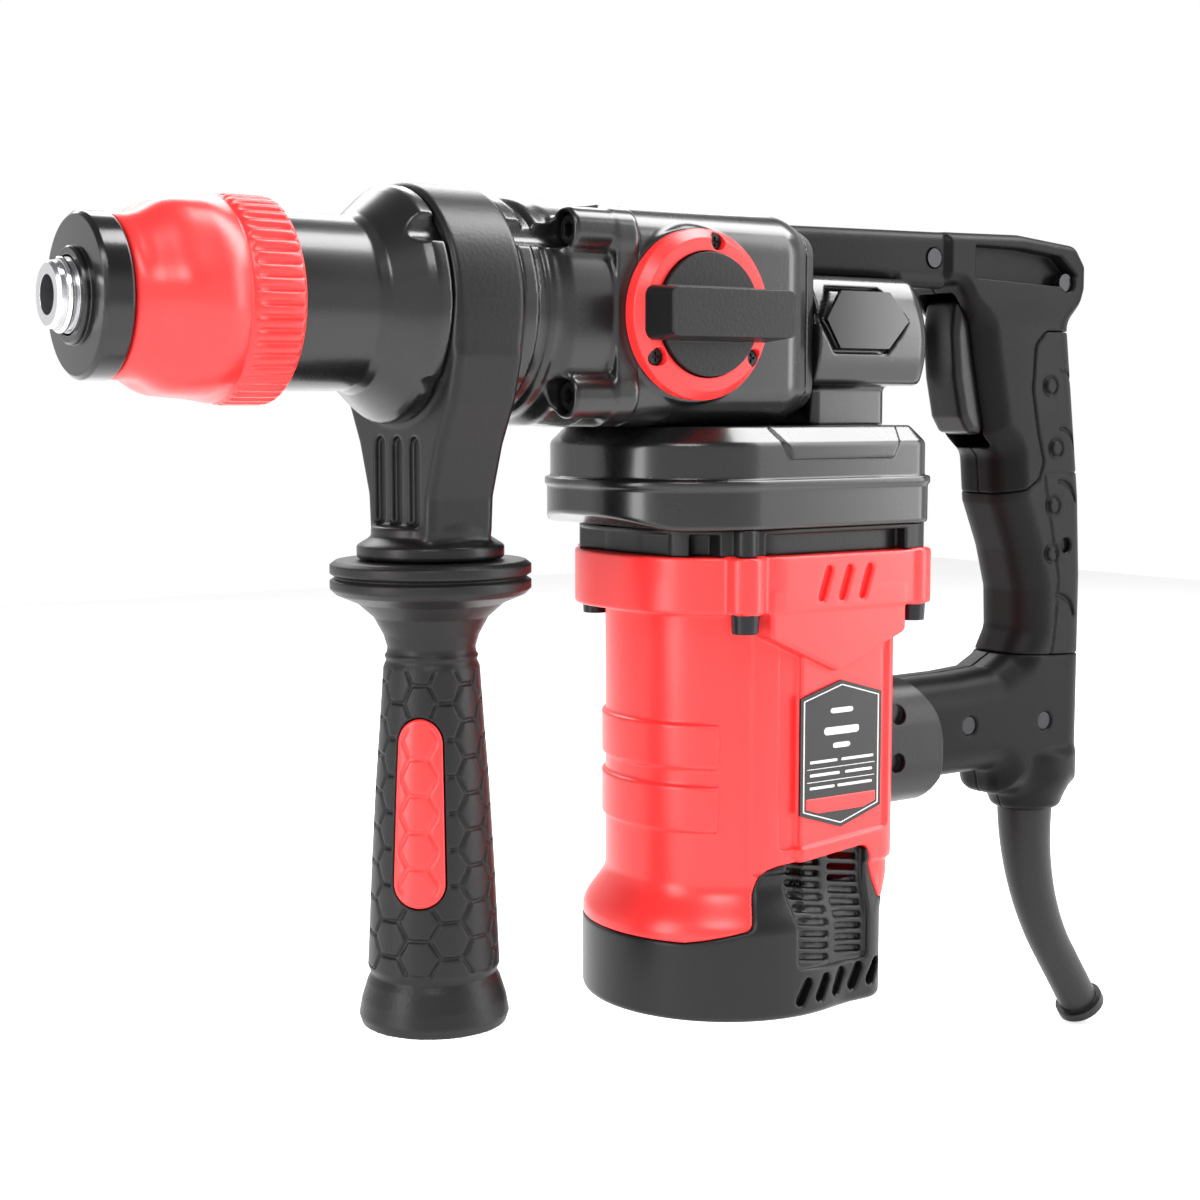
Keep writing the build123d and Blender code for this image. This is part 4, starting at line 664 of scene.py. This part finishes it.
SIDE_PANEL = soft_corners([(204, -88), (204, -158.3), (244.5, -154.8), (244.5, -88)], 2.5)
COLLAR_BOLTS = [(189.6, 37.6), (256.5, 36.0)]
COLLAR_BOLT_R = 5.0
FINGER_BANDS, BAND_RISE, BAND_END = [(-133.4, -120.2), (-152.2, -138.6)], 1.1, 187
LOUVRE_PANEL = soft_corners([(206.5, -158.5), (206.5, -193.0), (236.0, -194.5), (236.0, -156.5)], 2.5)
LOUVRE_ROWS, LOUVRE_COLUMNS, LOUVRE_PITCH = 9, (213.8, 228.6), 3.5
LOUVRE_TURN, SLOT_TURN = math.radians(-9), math.radians(62)
SLAT_LENGTH, SLAT_WIDTH, SLAT_TOP, SLAT_DEPTH = 12.0, 1.9, -162.5, 2.9
SLOTS, SLOT_PITCH, SLOT_LENGTH, SLOT_WIDTH, SLOT_DEPTH = 5, (7.4, 0.3), 9.0, 3.6, 3.5
FIRST_SLOT, PANEL_DEPTH, MIDDLE_STRIP = (209, -200.0), 1.3, 20
COLLAR_SLOTS, COLLAR_SLOT_TURN = (217, 225, 233), math.radians(70)
SHOULDER_RISE, SHOULDER_X = 1.3, 195.0
BEARING_R, BEARING_SEAT_R, BEARING_SEAT_TOP = 11.05, 14, -181.5


def motor_plan(x, y, z, inset=0):
    """Plan of the motor: a round front and a squarer rear, both wider towards the foot."""
    flare = smooth_step(z, FLARE_Z0, FLARE_Z1)
    rear = REAR_X + (BASE_REAR - REAR_X) * flare
    front = np.hypot(x - MOTOR_X, y) - (MOTOR_R + (BASE_R - MOTOR_R) * flare)
    half = SIDE_HALF + (BASE_HALF - SIDE_HALF) * flare
    box = rectangle(x - (MOTOR_X + rear) / 2, y, (rear - MOTOR_X) / 2, half, 0.5, 8.0)
    return join(front, box, 1.0) + inset


def motor_form(x, y, z):
    """The outside of the motor housing and its end cap together."""
    side = np.abs(y)
    plan = motor_plan(x, y, z)
    rise = np.zeros(np.shape(x))
    for low, high in FINGER_BANDS:
        rise = np.maximum(rise, smooth_step(-span(z, low, high), -0.5, 0.5))
    plan = plan - BAND_RISE * rise * (1 - smooth_step(x, BAND_END, BAND_END + 1))
    shoulder = smooth_step(x, SHOULDER_X, SHOULDER_X + 1.5) * smooth_step(side, 30, 36)
    shoulder = shoulder * smooth_step(z, -166, -164)
    plan = plan - SHOULDER_RISE * shoulder * smooth_step(polygon(x, z, SIDE_PANEL), -0.4, 0.6)
    form = meet(plan, span(z, CAP_LOW[2], -80), 2.2)
    centre = (COLLAR_X0 + COLLAR_X1) / 2
    plan = rectangle(x - centre, y, (COLLAR_X1 - COLLAR_X0) / 2, COLLAR_HALF, 35.4, 8.4)
    collar = meet(plan, span(z, COLLAR_Z, HOUSING_HIGH[2]), 0.8)
    apron = meet(polygon(x, z, APRON), span(side, 34, APRON_FACE), 1.0)
    return join(join(form, collar, 1.5), apron, 0.6)


def motor_inside(x, y, z):
    """The room for the motor, which doesn't follow the flare."""
    axis = np.hypot(x - MOTOR_X, y)
    tube = all_of(motor_plan(x, y, FLARE_Z0, MOTOR_WALL), span(z, CAP_LOW[2] + 3, COLLAR_Z + 3))
    throat = all_of(axis - THROAT_R, span(z, -120, -60))
    mouth = all_of(axis - MOUTH_R, span(z, COLLAR_Z + 3, -60))
    return any_of(tube, throat, mouth)


def housing_field(x, y, z):
    side = np.abs(y)
    form = motor_form(x, y, z)
    for slot_x in COLLAR_SLOTS:
        slot = all_of(capsule(x, z, (slot_x, -79), 11, 2.6, COLLAR_SLOT_TURN), 39.2 - side)
        form = cut(form, slot, 0.4)
    for bolt_x, bolt_y in COLLAR_BOLTS:
        place = np.hypot(x - bolt_x, side - bolt_y)
        boss = meet(place - COLLAR_BOLT_R - 0.6, span(z, COLLAR_Z, HOUSING_HIGH[2]), 0.8)
        form = join(form, boss, 1.5)
        form = cut(form, all_of(place - COLLAR_BOLT_R, span(z, -100, COLLAR_Z + 0.8)), 0.4)
    form = cut(form, motor_inside(x, y, z))
    return cut(form, polygon(x, z, CAP_EDGE) - 0.1, 0.5)


def cap_field(x, y, z):
    """The end cap: two columns of louvres in a sunk panel on each side and a row of slots under them."""
    form = meet(motor_form(x, y, z) - 0.15, polygon(x, z, CAP_EDGE) + 0.1, 0.7)
    depth, off_side = -motor_plan(x, y, z), MIDDLE_STRIP - np.abs(y)
    form = cut(form, all_of(polygon(x, z, LOUVRE_PANEL), depth - PANEL_DEPTH, off_side), 0.5)
    slats = np.full(np.shape(x), FAR)
    for row in range(LOUVRE_ROWS):
        for column in LOUVRE_COLUMNS:
            place = (column, SLAT_TOP - LOUVRE_PITCH * row)
            slats = any_of(slats, capsule(x, z, place, SLAT_LENGTH, SLAT_WIDTH, LOUVRE_TURN))
    form = cut(form, all_of(slats, depth - SLAT_DEPTH, off_side), 0.3)
    for column in range(SLOTS):
        place = (FIRST_SLOT[0] + SLOT_PITCH[0] * column, FIRST_SLOT[1] + SLOT_PITCH[1] * column)
        slot = capsule(x, z, place, SLOT_LENGTH, SLOT_WIDTH, SLOT_TURN)
        form = cut(form, all_of(slot, depth - SLOT_DEPTH, off_side), 0.4)
    form = cut(form, motor_inside(x, y, z))
    axis = np.hypot(x - MOTOR_X, y)
    seat_height = span(z, CAP_LOW[2] + 1, BEARING_SEAT_TOP)
    bearing_seat = all_of(axis - BEARING_SEAT_R, seat_height, BEARING_R - axis)
    return any_of(form, bearing_seat)


def add_motor():
    housing = sculpt("motor_housing_shell", housing_field, HOUSING_LOW - (1, 2, 0), HOUSING_HIGH + (1, 2, 0))
    finish_piece(housing, "housing", "red_plastic", "motor_housing")
    cap = sculpt("motor_end_cap_shell", cap_field, CAP_LOW - 1, CAP_HIGH + 1)
    finish_piece(cap, "housing", "black_plastic", "motor_end_cap")


# ---- Gear case and vent ring ---------------------------------------------------------------------
GEARCASE_LOW, GEARCASE_HIGH = mm("gearcase")
VENT_LOW, VENT_HIGH = mm("vent_ring")
CASE_FRONT = GEARCASE_LOW[0] - 2.4
CRANK_X = mm("crankshaft")[0][0] + 16.0
RIDGE_Z, RIDGE_HALF, TOP_BEVEL = -49.5, 1.3, 5.0
CRANK_BEARING_R, BEARING_WALL = 13.05, 2.95
CRANK_HOLE_R, ROTOR_HOLE_R = 8, 9
SIDE_FACET = [(204, -42.5), (197, -30), (250, -30), (244, -42.5)]
VENT_WINDOWS = [(160, 173.5), (177, 183.5), (196, 250)]
VENT_WALL, VENT_DEPTH, VENT_BOSS_R = 5.5, 4.3, 3.4


def case_plan(x, y, front, front_r):
    """Plan of the gear case: a round front and squarer rear corners."""
    rear, half = GEARCASE_HIGH[0], GEARCASE_HIGH[1]
    return rectangle(x - (front + rear) / 2, y, (rear - front) / 2, half, front_r, 9.0)


def gearcase_field(x, y, z):
    """A bevelled upper tier, a ridge round its foot, and a lower tier cut off slantwise in front."""
    plan = case_plan(x, y, CASE_FRONT, 36.0)
    top = GEARCASE_HIGH[2]

    def tier(inset):
        bevel = (plan + inset + z - top + TOP_BEVEL) / math.sqrt(2)
        return meet(meet(plan + inset, bevel, 0.7), span(z, RIDGE_Z, top), 0.5)

    facet = meet(tier(0.7), all_of(polygon(x, z, SIDE_FACET), 22 - np.abs(y)), 0.4)
    form = join(tier(1.7), facet, 0.3)
    form = join(form, meet(plan, span(z, RIDGE_Z - RIDGE_HALF, RIDGE_Z + RIDGE_HALF), 0.8), 0.5)
    lower = meet(plan + 0.7, span(z, GEARCASE_LOW[2], RIDGE_Z), 1.0)
    slant = (z + 55.5) * 0.94 + (x - CASE_FRONT + 8) * 0.34
    form = join(form, cut(lower, slant, 0.8), 0.5)
    crank, motor = np.hypot(x - CRANK_X, y), np.hypot(x - MOTOR_X, y)
    hollow = all_of(case_plan(x, y, CASE_FRONT + 14, 30.0) + 6.5, span(z, -70, -39))
    crank_seat = all_of(crank - CRANK_BEARING_R - BEARING_WALL, span(z, -60.5, -38))
    motor_seat = all_of(motor - BEARING_R - BEARING_WALL, span(z, -60.5, -38))
    hollow = all_of(hollow, -any_of(crank_seat, motor_seat))
    crank_bore = all_of(crank - CRANK_BEARING_R, span(z, -70, -35.5))
    motor_bore = all_of(motor - BEARING_R, span(z, -70, -49.5))
    return cut(form, any_of(hollow, crank_bore, motor_bore, crank - CRANK_HOLE_R, motor - ROTOR_HOLE_R), 0.2)


def vent_field(x, y, z):
    """The vent ring: dark windows with a screen behind them."""
    plan = case_plan(x, y, VENT_LOW[0] - 2.0, 36.0) + 2.0
    height = span(z, VENT_LOW[2], VENT_HIGH[2])
    form = meet(all_of(plan, -VENT_WALL - plan), height, 0.4)
    for x0, x1 in VENT_WINDOWS:
        window = all_of(span(x, x0, x1), span(z, VENT_LOW[2] - 1, VENT_HIGH[2] - 1.5), -VENT_DEPTH - plan)
        form = cut(form, window, 0.4)
    for bolt_x, bolt_y in COLLAR_BOLTS:
        boss = all_of(np.hypot(x - bolt_x, np.abs(y) - bolt_y) - VENT_BOSS_R, height)
        form = join(form, boss, 0.5)
    return form


def add_gearcase():
    case = sculpt("gearcase_casting", gearcase_field, GEARCASE_LOW - (3, 0, 0), GEARCASE_HIGH)
    finish_piece(case, "housing", "black_casting", "gearcase")
    vent = sculpt("vent_ring_screened", vent_field, VENT_LOW - 1, VENT_HIGH + 1)
    finish_piece(vent, "housing", "black_plastic", "vent_ring")


# ---- Cylinder cover and crankcase ----------------------------------------------------------------
COVER_X0, SEAM_X = mm("cylinder_cover")[0][0], mm("cylinder_cover")[1][0]
CASE_LOW, CASE_HIGH = mm("crankcase")
CASE_Z, CASE_HEIGHT = middle("crankcase")[2], (CASE_HIGH[2] - CASE_LOW[2]) / 2
CASE_HALF, CASE_R, CASE_WALL = CASE_HIGH[1], 12.5, 3.2
BOLT_SEAT_X, BOLT_Y, BOLT_LOW, BOLT_HIGH = 141.0, 26.5, -24.5, 20.5
BOLT_BOSS_R, BOLT_SEAT_R, BOLT_HOLE_R = 6.2, 5.0, 2.5
BLOCK_X, BOSS_X, FLANGE_X = 132, 134, 148.5
CASE_TAPER_X, CASE_TAPER = 212.5, 0.45
KNOB_MIDDLE = middle("selector_bezel")
KNOB_SEAT_R, KNOB_SHAFT_R = 24.4, 5.05
IDLER_X, IDLER_ROOM_R, IDLER_ROOM_LOW = middle("idler_gear")[0], 14.2, -30.4
FRONT_PROFILE = [
    (57, 0), (57, 22.4), (57.8, 23.2), (80, 23.2), (83, 24.2), (90.4, 30.6), (92.2, 31.8), (93.4, 32),
    (96.0, 32), (96.5, 31.5), (96.5, 29.5), (118.5, 29.5), (118.5, 31.1), (119, 31.5), (123, 31.5),
    (123.6, 30.9), (124.4, 29.6), (127, 29.6), (127.8, 30.6), (129, 31), (150, 31), (150, 0)]
FRONT_BORE = [
    (50, -5), (50, 17.5), (61.8, 17.5), (61.8, 19), (73, 19), (73, 16), (77, 16), (77, 18.5), (84, 20),
    (92, 25.5), (170, 25.5), (170, -5)]


def knob_seat(x, y, z):
    """The round flat that the mode knob's bezel sits on."""
    knob = np.hypot(x - KNOB_MIDDLE[0], z - KNOB_MIDDLE[2])
    return meet(knob - KNOB_SEAT_R, span(y, -CASE_HALF, -25), 0.4)


def front_field(x, y, z):
    """The cylinder cover: a turned neck that widens into the flange of the crankcase."""
    radius = np.hypot(y, z)
    form = polygon(x, radius, FRONT_PROFILE)
    section = rectangle(y, z - CASE_Z, CASE_HALF - 1.0, CASE_HEIGHT - 0.2, 26)
    form = join(form, meet(section, span(x, BLOCK_X, SEAM_X), 3.0), 2.0)
    flange = meet(rectangle(y, z - CASE_Z, CASE_HALF, CASE_HEIGHT, CASE_R), span(x, FLANGE_X, SEAM_X), 0.5)
    form = join(form, flange, 1.2)
    bolt_side = np.abs(y) - BOLT_Y
    bolt = any_of(np.hypot(bolt_side, z - BOLT_HIGH), np.hypot(bolt_side, z - BOLT_LOW))
    form = join(form, meet(bolt - BOLT_BOSS_R, span(x, BOSS_X, SEAM_X), 1.5), 2.5)
    form = cut(form, all_of(bolt - BOLT_SEAT_R, x - BOLT_SEAT_X), 0.5)
    form = join(form, all_of(knob_seat(x, y, z), x - SEAM_X), 0.8)
    form = cut(form, polygon(x, radius, FRONT_BORE))
    room_height = span(z, IDLER_ROOM_LOW, 0)
    idler = all_of(np.hypot(x - IDLER_X, y) - IDLER_ROOM_R, room_height)
    behind = all_of(IDLER_X - x, np.abs(y) - IDLER_ROOM_R, room_height)
    form = cut(form, any_of(idler, behind))
    return cut(form, bolt - BOLT_HOLE_R)


def crankcase_field(x, y, z):
    """A rounded box, narrower at its rear end, with the knob's seat and the holes of crank and rotor."""
    section = rectangle(y, z - CASE_Z, CASE_HALF, CASE_HEIGHT, CASE_R)
    form = meet(section, span(x, SEAM_X, CASE_HIGH[0]), 0.6)
    form = meet(form, (section + CASE_TAPER * (x - CASE_TAPER_X)) / 1.1, 1.2)
    knob = np.hypot(x - KNOB_MIDDLE[0], z - KNOB_MIDDLE[2])
    form = join(form, all_of(knob_seat(x, y, z), SEAM_X - x), 1.5)
    inside = all_of(section + CASE_WALL, span(x, 150, 219))
    knob_sleeve = 9 - knob - np.maximum(0, y + 27) * 50
    form = cut(form, all_of(inside, knob_sleeve))
    holes = any_of(np.hypot(x - CRANK_X, y) - CRANK_HOLE_R, np.hypot(x - MOTOR_X, y) - ROTOR_HOLE_R)
    form = cut(form, all_of(holes, z + 20))
    return cut(form, all_of(knob - KNOB_SHAFT_R, y + 20))


def add_case():
    front = sculpt("cylinder_cover_casting", front_field, (COVER_X0, -33, -34), (SEAM_X, 33, 33))
    finish_piece(front, "housing", "black_casting", "cylinder_cover")
    case = sculpt("crankcase_casting", crankcase_field, CASE_LOW, CASE_HIGH)
    finish_piece(case, "housing", "black_casting", "crankcase")


# ---- Print on the label plates -------------------------------------------------------------------
LABEL_HEXAGON = [(210, -113), (226, -108.5), (242, -113), (242, -148), (226, -153), (210, -148)]
LABEL_X, LABEL_FACE, PRINT_STEP = 226.0, 38.8, 0.3
BORDER_INSET, BORDER_HALF = 1.3, 0.22
# Each bar's middle from LABEL_X, its height, length and width.
PRINTED_BARS = [(0, -117.5, 9, 1.6), (0, -123.5, 14, 2.4), (0, -128.0, 7, 1.6), (-7.0, -132.4, 11, 1.0),
                (6.5, -132.4, 13, 1.0), (-6.5, -136.4, 12, 1.0), (7.0, -136.4, 11, 1.0),
                (-7.5, -140.2, 10, 1.0), (5.5, -140.2, 14, 1.0), (0, -134.4, 27, 0.35),
                (0, -138.3, 27, 0.35)]


def print_depth(y):
    """The thin layer of print on either label."""
    return span(np.abs(y), LABEL_FACE - 0.3, LABEL_FACE + 0.12)


def print_field(x, y, z):
    """A border and plain bars."""
    bars = np.full(np.shape(x), FAR)
    for centre, height, length, width in PRINTED_BARS:
        bars = any_of(bars, capsule(x, z, (LABEL_X + centre, height), length, width, 0.0))
    border = np.abs(polygon(x, z, LABEL_HEXAGON) + BORDER_INSET) - BORDER_HALF
    return all_of(any_of(bars, border), print_depth(y))


def band_field(x, y, z):
    return all_of(polygon(x, z, LABEL_HEXAGON) + 2.2, span(z, -148.0, -143.2), print_depth(y))


def add_label_print():
    for side, where in ((-1, "left"), (1, "right")):
        y_low, y_high = sorted((side * (LABEL_FACE - 0.5), side * (LABEL_FACE + 0.3)))
        low, high = (209, y_low, -154), (243, y_high, -108)
        bars = sculpt("label_print_" + where, print_field, low, high, PRINT_STEP)
        finish_piece(bars, "housing", "label", finish="print")
        band = sculpt("label_band_" + where, band_field, low, high, PRINT_STEP)
        finish_piece(band, "housing", "red_plastic")


# ---- Rear cover ----------------------------------------------------------------------------------
COVER_LOW, COVER_HIGH = mm("rear_cover")
BARREL_Z, BARREL_R, COVER_TOP, COVER_FLOOR = -8.0, 29.6, 12.0, -21.0
POST_X, POST_HALF = (228.5, 259), 21
COVER_ROOM_X, COVER_ROOM_HALF = 264, 19
BADGE = [(231, 7), (250.5, 7), (258.5, -1.5), (250.5, -10), (231, -10), (225.5, -1.5)]


def cover_field(x, y, z):
    """A lying barrel on a post, with a hexagonal groove round the badge on each side."""
    barrel_r = np.hypot(y, z - BARREL_Z)
    barrel = meet(barrel_r - BARREL_R, x - COVER_HIGH[0], 6.0)
    barrel = meet(barrel, span(z, COVER_FLOOR, COVER_TOP), 2.0)
    post = meet(span(x, *POST_X), np.abs(y) - POST_HALF, 3.0)
    form = join(barrel, all_of(post, span(z, COVER_LOW[2], -15)), 2.0)
    form = all_of(form, COVER_LOW[0] - x)
    groove = all_of(np.abs(polygon(x, z, BADGE) - 0.8) - 0.7, 27.6 - barrel_r, 15 - np.abs(y))
    form = cut(form, groove, 0.3)
    inside = all_of(x - COVER_ROOM_X, np.abs(y) - COVER_ROOM_HALF, span(z, COVER_FLOOR + 3, COVER_TOP - 3))
    return cut(form, inside)


def add_cover():
    cover = sculpt("rear_cover_shell", cover_field, COVER_LOW, COVER_HIGH)
    finish_piece(cover, "housing", "black_casting", "rear_cover")


# ---- Trigger -------------------------------------------------------------------------------------
TRIGGER_CORNERS = soft_corners([
    (302.5, 7), (301, -4), (302.5, -18), (305.5, -31), (309, -36), (315, -37), (321, -24), (328, -4),
    (328, 8.5), (316, 9)], 2.0)
TRIGGER_HALF = 8.0
FINGER_X, FINGER_R, FINGER_Z, FINGER_TAPER = 292.5, 10.5, -14, 0.06
TRIGGER_PIN = middle("trigger_pin")
TRIGGER_PIN_R = 2.05


def trigger_field(x, y, z):
    """The lever, with a hollow for the finger down its front."""
    form = meet(polygon(x, z, TRIGGER_CORNERS), np.abs(y) - TRIGGER_HALF, 2.6)
    finger = np.hypot(x - FINGER_X, y) - FINGER_R + np.abs(z - FINGER_Z) * FINGER_TAPER
    form = cut(form, finger, 1.0)
    return cut(form, np.hypot(x - TRIGGER_PIN[0], z - TRIGGER_PIN[2]) - TRIGGER_PIN_R)


def add_trigger():
    low, high = mm("trigger")
    piece = sculpt("trigger_lever", trigger_field, low, high)
    finish_piece(piece, "trigger", "black_plastic", "trigger")


# ---- Locking sleeve ------------------------------------------------------------------------------
SLEEVE_PROFILE = [
    (15.4, 20.0), (16.2, 20.6), (18, 21.2), (20, 22.0), (22, 23.2), (24, 24.6), (26, 25.6), (28, 26.2),
    (31, 26.5), (36, 26.5), (42.2, 26.5), (42.6, 25.9), (43.6, 25.9), (44.2, 26.7), (45, 27), (48, 27),
    (52, 27), (56, 27), (56.8, 26.7), (57.6, 25.8), (57.6, 24.0), (38, 24.0), (35, 20.0), (35, 13.05),
    (15.4, 13.05)]
OUTER_POINTS = 20
LOBES, LOBE_DEPTH = 6, 1.7
TEETH, TOOTH_DEPTH = 48, 1.0
SLEEVE_STEPS = 480


def add_sleeve():
    """The locking sleeve: soft lobes round its front and fine teeth round its rear."""
    turn = np.linspace(0, 2 * math.pi, SLEEVE_STEPS, endpoint=False)[None]
    x, r = (np.array(column)[:, None] for column in zip(*SLEEVE_PROFILE))
    outer = (np.arange(len(x)) < OUTER_POINTS)[:, None]
    lobe = smooth_step(x, 16, 22) * (1 - smooth_step(x, 33, 41)) * outer
    tooth = ((x > 44.8) & (x < 56.5) & outer) * 1.0
    r = r - LOBE_DEPTH * lobe * (0.5 - 0.5 * np.cos(LOBES * turn))
    r = r - TOOTH_DEPTH * tooth * (0.5 - 0.5 * np.cos(TEETH * turn)) ** 2
    corners = np.stack(np.broadcast_arrays(x, r * np.cos(turn), r * np.sin(turn)), -1).reshape(-1, 3)
    ring = np.arange(len(SLEEVE_PROFILE))[:, None] * SLEEVE_STEPS
    ahead = np.roll(ring, -1, 0)
    step = np.arange(SLEEVE_STEPS)[None]
    beside = np.roll(step, -1, 1)
    faces = np.stack([ring + step, ring + beside, ahead + beside, ahead + step], -1).reshape(-1, 4)
    sleeve = add_mesh("lock_sleeve_grip", corners / 1000, faces)
    finish_piece(sleeve, "lock_sleeve", "red_plastic", "lock_sleeve")


# ---- Springs -------------------------------------------------------------------------------------
COIL_TURNS, COIL_STEPS, WIRE_SIDES = 4, 28, 8
SLEEVE_WIRE, SLEEVE_TRAVEL = 0.8, 7.5
TRIGGER_WIRE, TRIGGER_TRAVEL = 0.45, 2.8


def add_coil(name, low, high, wire):
    """A coil along X between two corners in millimetres, its wire given by its radius."""
    centre = (low + high) / 2
    radius = (high[1] - low[1]) / 2 - wire
    length = high[0] - low[0] - 2 * wire
    turn = np.linspace(0, 2 * math.pi * COIL_TURNS, COIL_STEPS * COIL_TURNS + 1)
    line = np.stack([low[0] + wire + length * turn / turn[-1], centre[1] + radius * np.cos(turn),
                     centre[2] + radius * np.sin(turn)], 1)
    outward = np.stack([0 * turn, np.cos(turn), np.sin(turn)], 1)
    along = np.stack([length / turn[-1] + 0 * turn, -radius * np.sin(turn), radius * np.cos(turn)], 1)
    along /= np.linalg.norm(along, axis=1)[:, None]
    beside = np.cross(along, outward)
    around = np.linspace(0, 2 * math.pi, WIRE_SIDES, endpoint=False)
    ring = outward[:, None] * np.cos(around)[:, None] + beside[:, None] * np.sin(around)[:, None]
    corners = (line[:, None] + wire * ring).reshape(-1, 3)
    here = np.arange(len(turn) - 1)[:, None] * WIRE_SIDES
    ahead = here + WIRE_SIDES
    step = np.arange(WIRE_SIDES)[None]
    following = np.roll(step, -1)
    tube = np.stack([here + step, here + following, ahead + following, ahead + step], -1).reshape(-1, 4)
    cap = np.array([(0, 1, 2, 3), (0, 3, 4, 7), (7, 4, 5, 6)])
    return add_mesh(name, corners / 1000, np.concatenate([tube, cap[:, ::-1], cap + ahead[-1]]))


def add_sleeve_spring():
    """It rides on the spindle."""
    low, high = mm("sleeve_spring")
    coil = add_coil("sleeve_spring_coil", low, high, SLEEVE_WIRE)
    finish_piece(coil, "spindle", "steel", "sleeve_spring")
    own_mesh(coil)


def add_trigger_spring():
    """It rides on the trigger."""
    low, high = mm("trigger_spring")
    coil = add_coil("trigger_spring_coil", low, high, TRIGGER_WIRE)
    finish_piece(coil, "trigger", "steel", "trigger_spring")
    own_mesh(coil)


# ---- The scene -----------------------------------------------------------------------------------
PARTS = (add_handle, add_side_grip, add_clamp, add_motor, add_gearcase, add_case, add_label_print, add_cover,
         add_trigger, add_sleeve, add_sleeve_spring, add_trigger_spring)

add_camera()
add_floor()
add_world()
for lamp_name, lamp in LAMPS.items():
    add_lamp(lamp_name, *lamp)
dress_cad()
for add_part in PARTS:
    add_part()
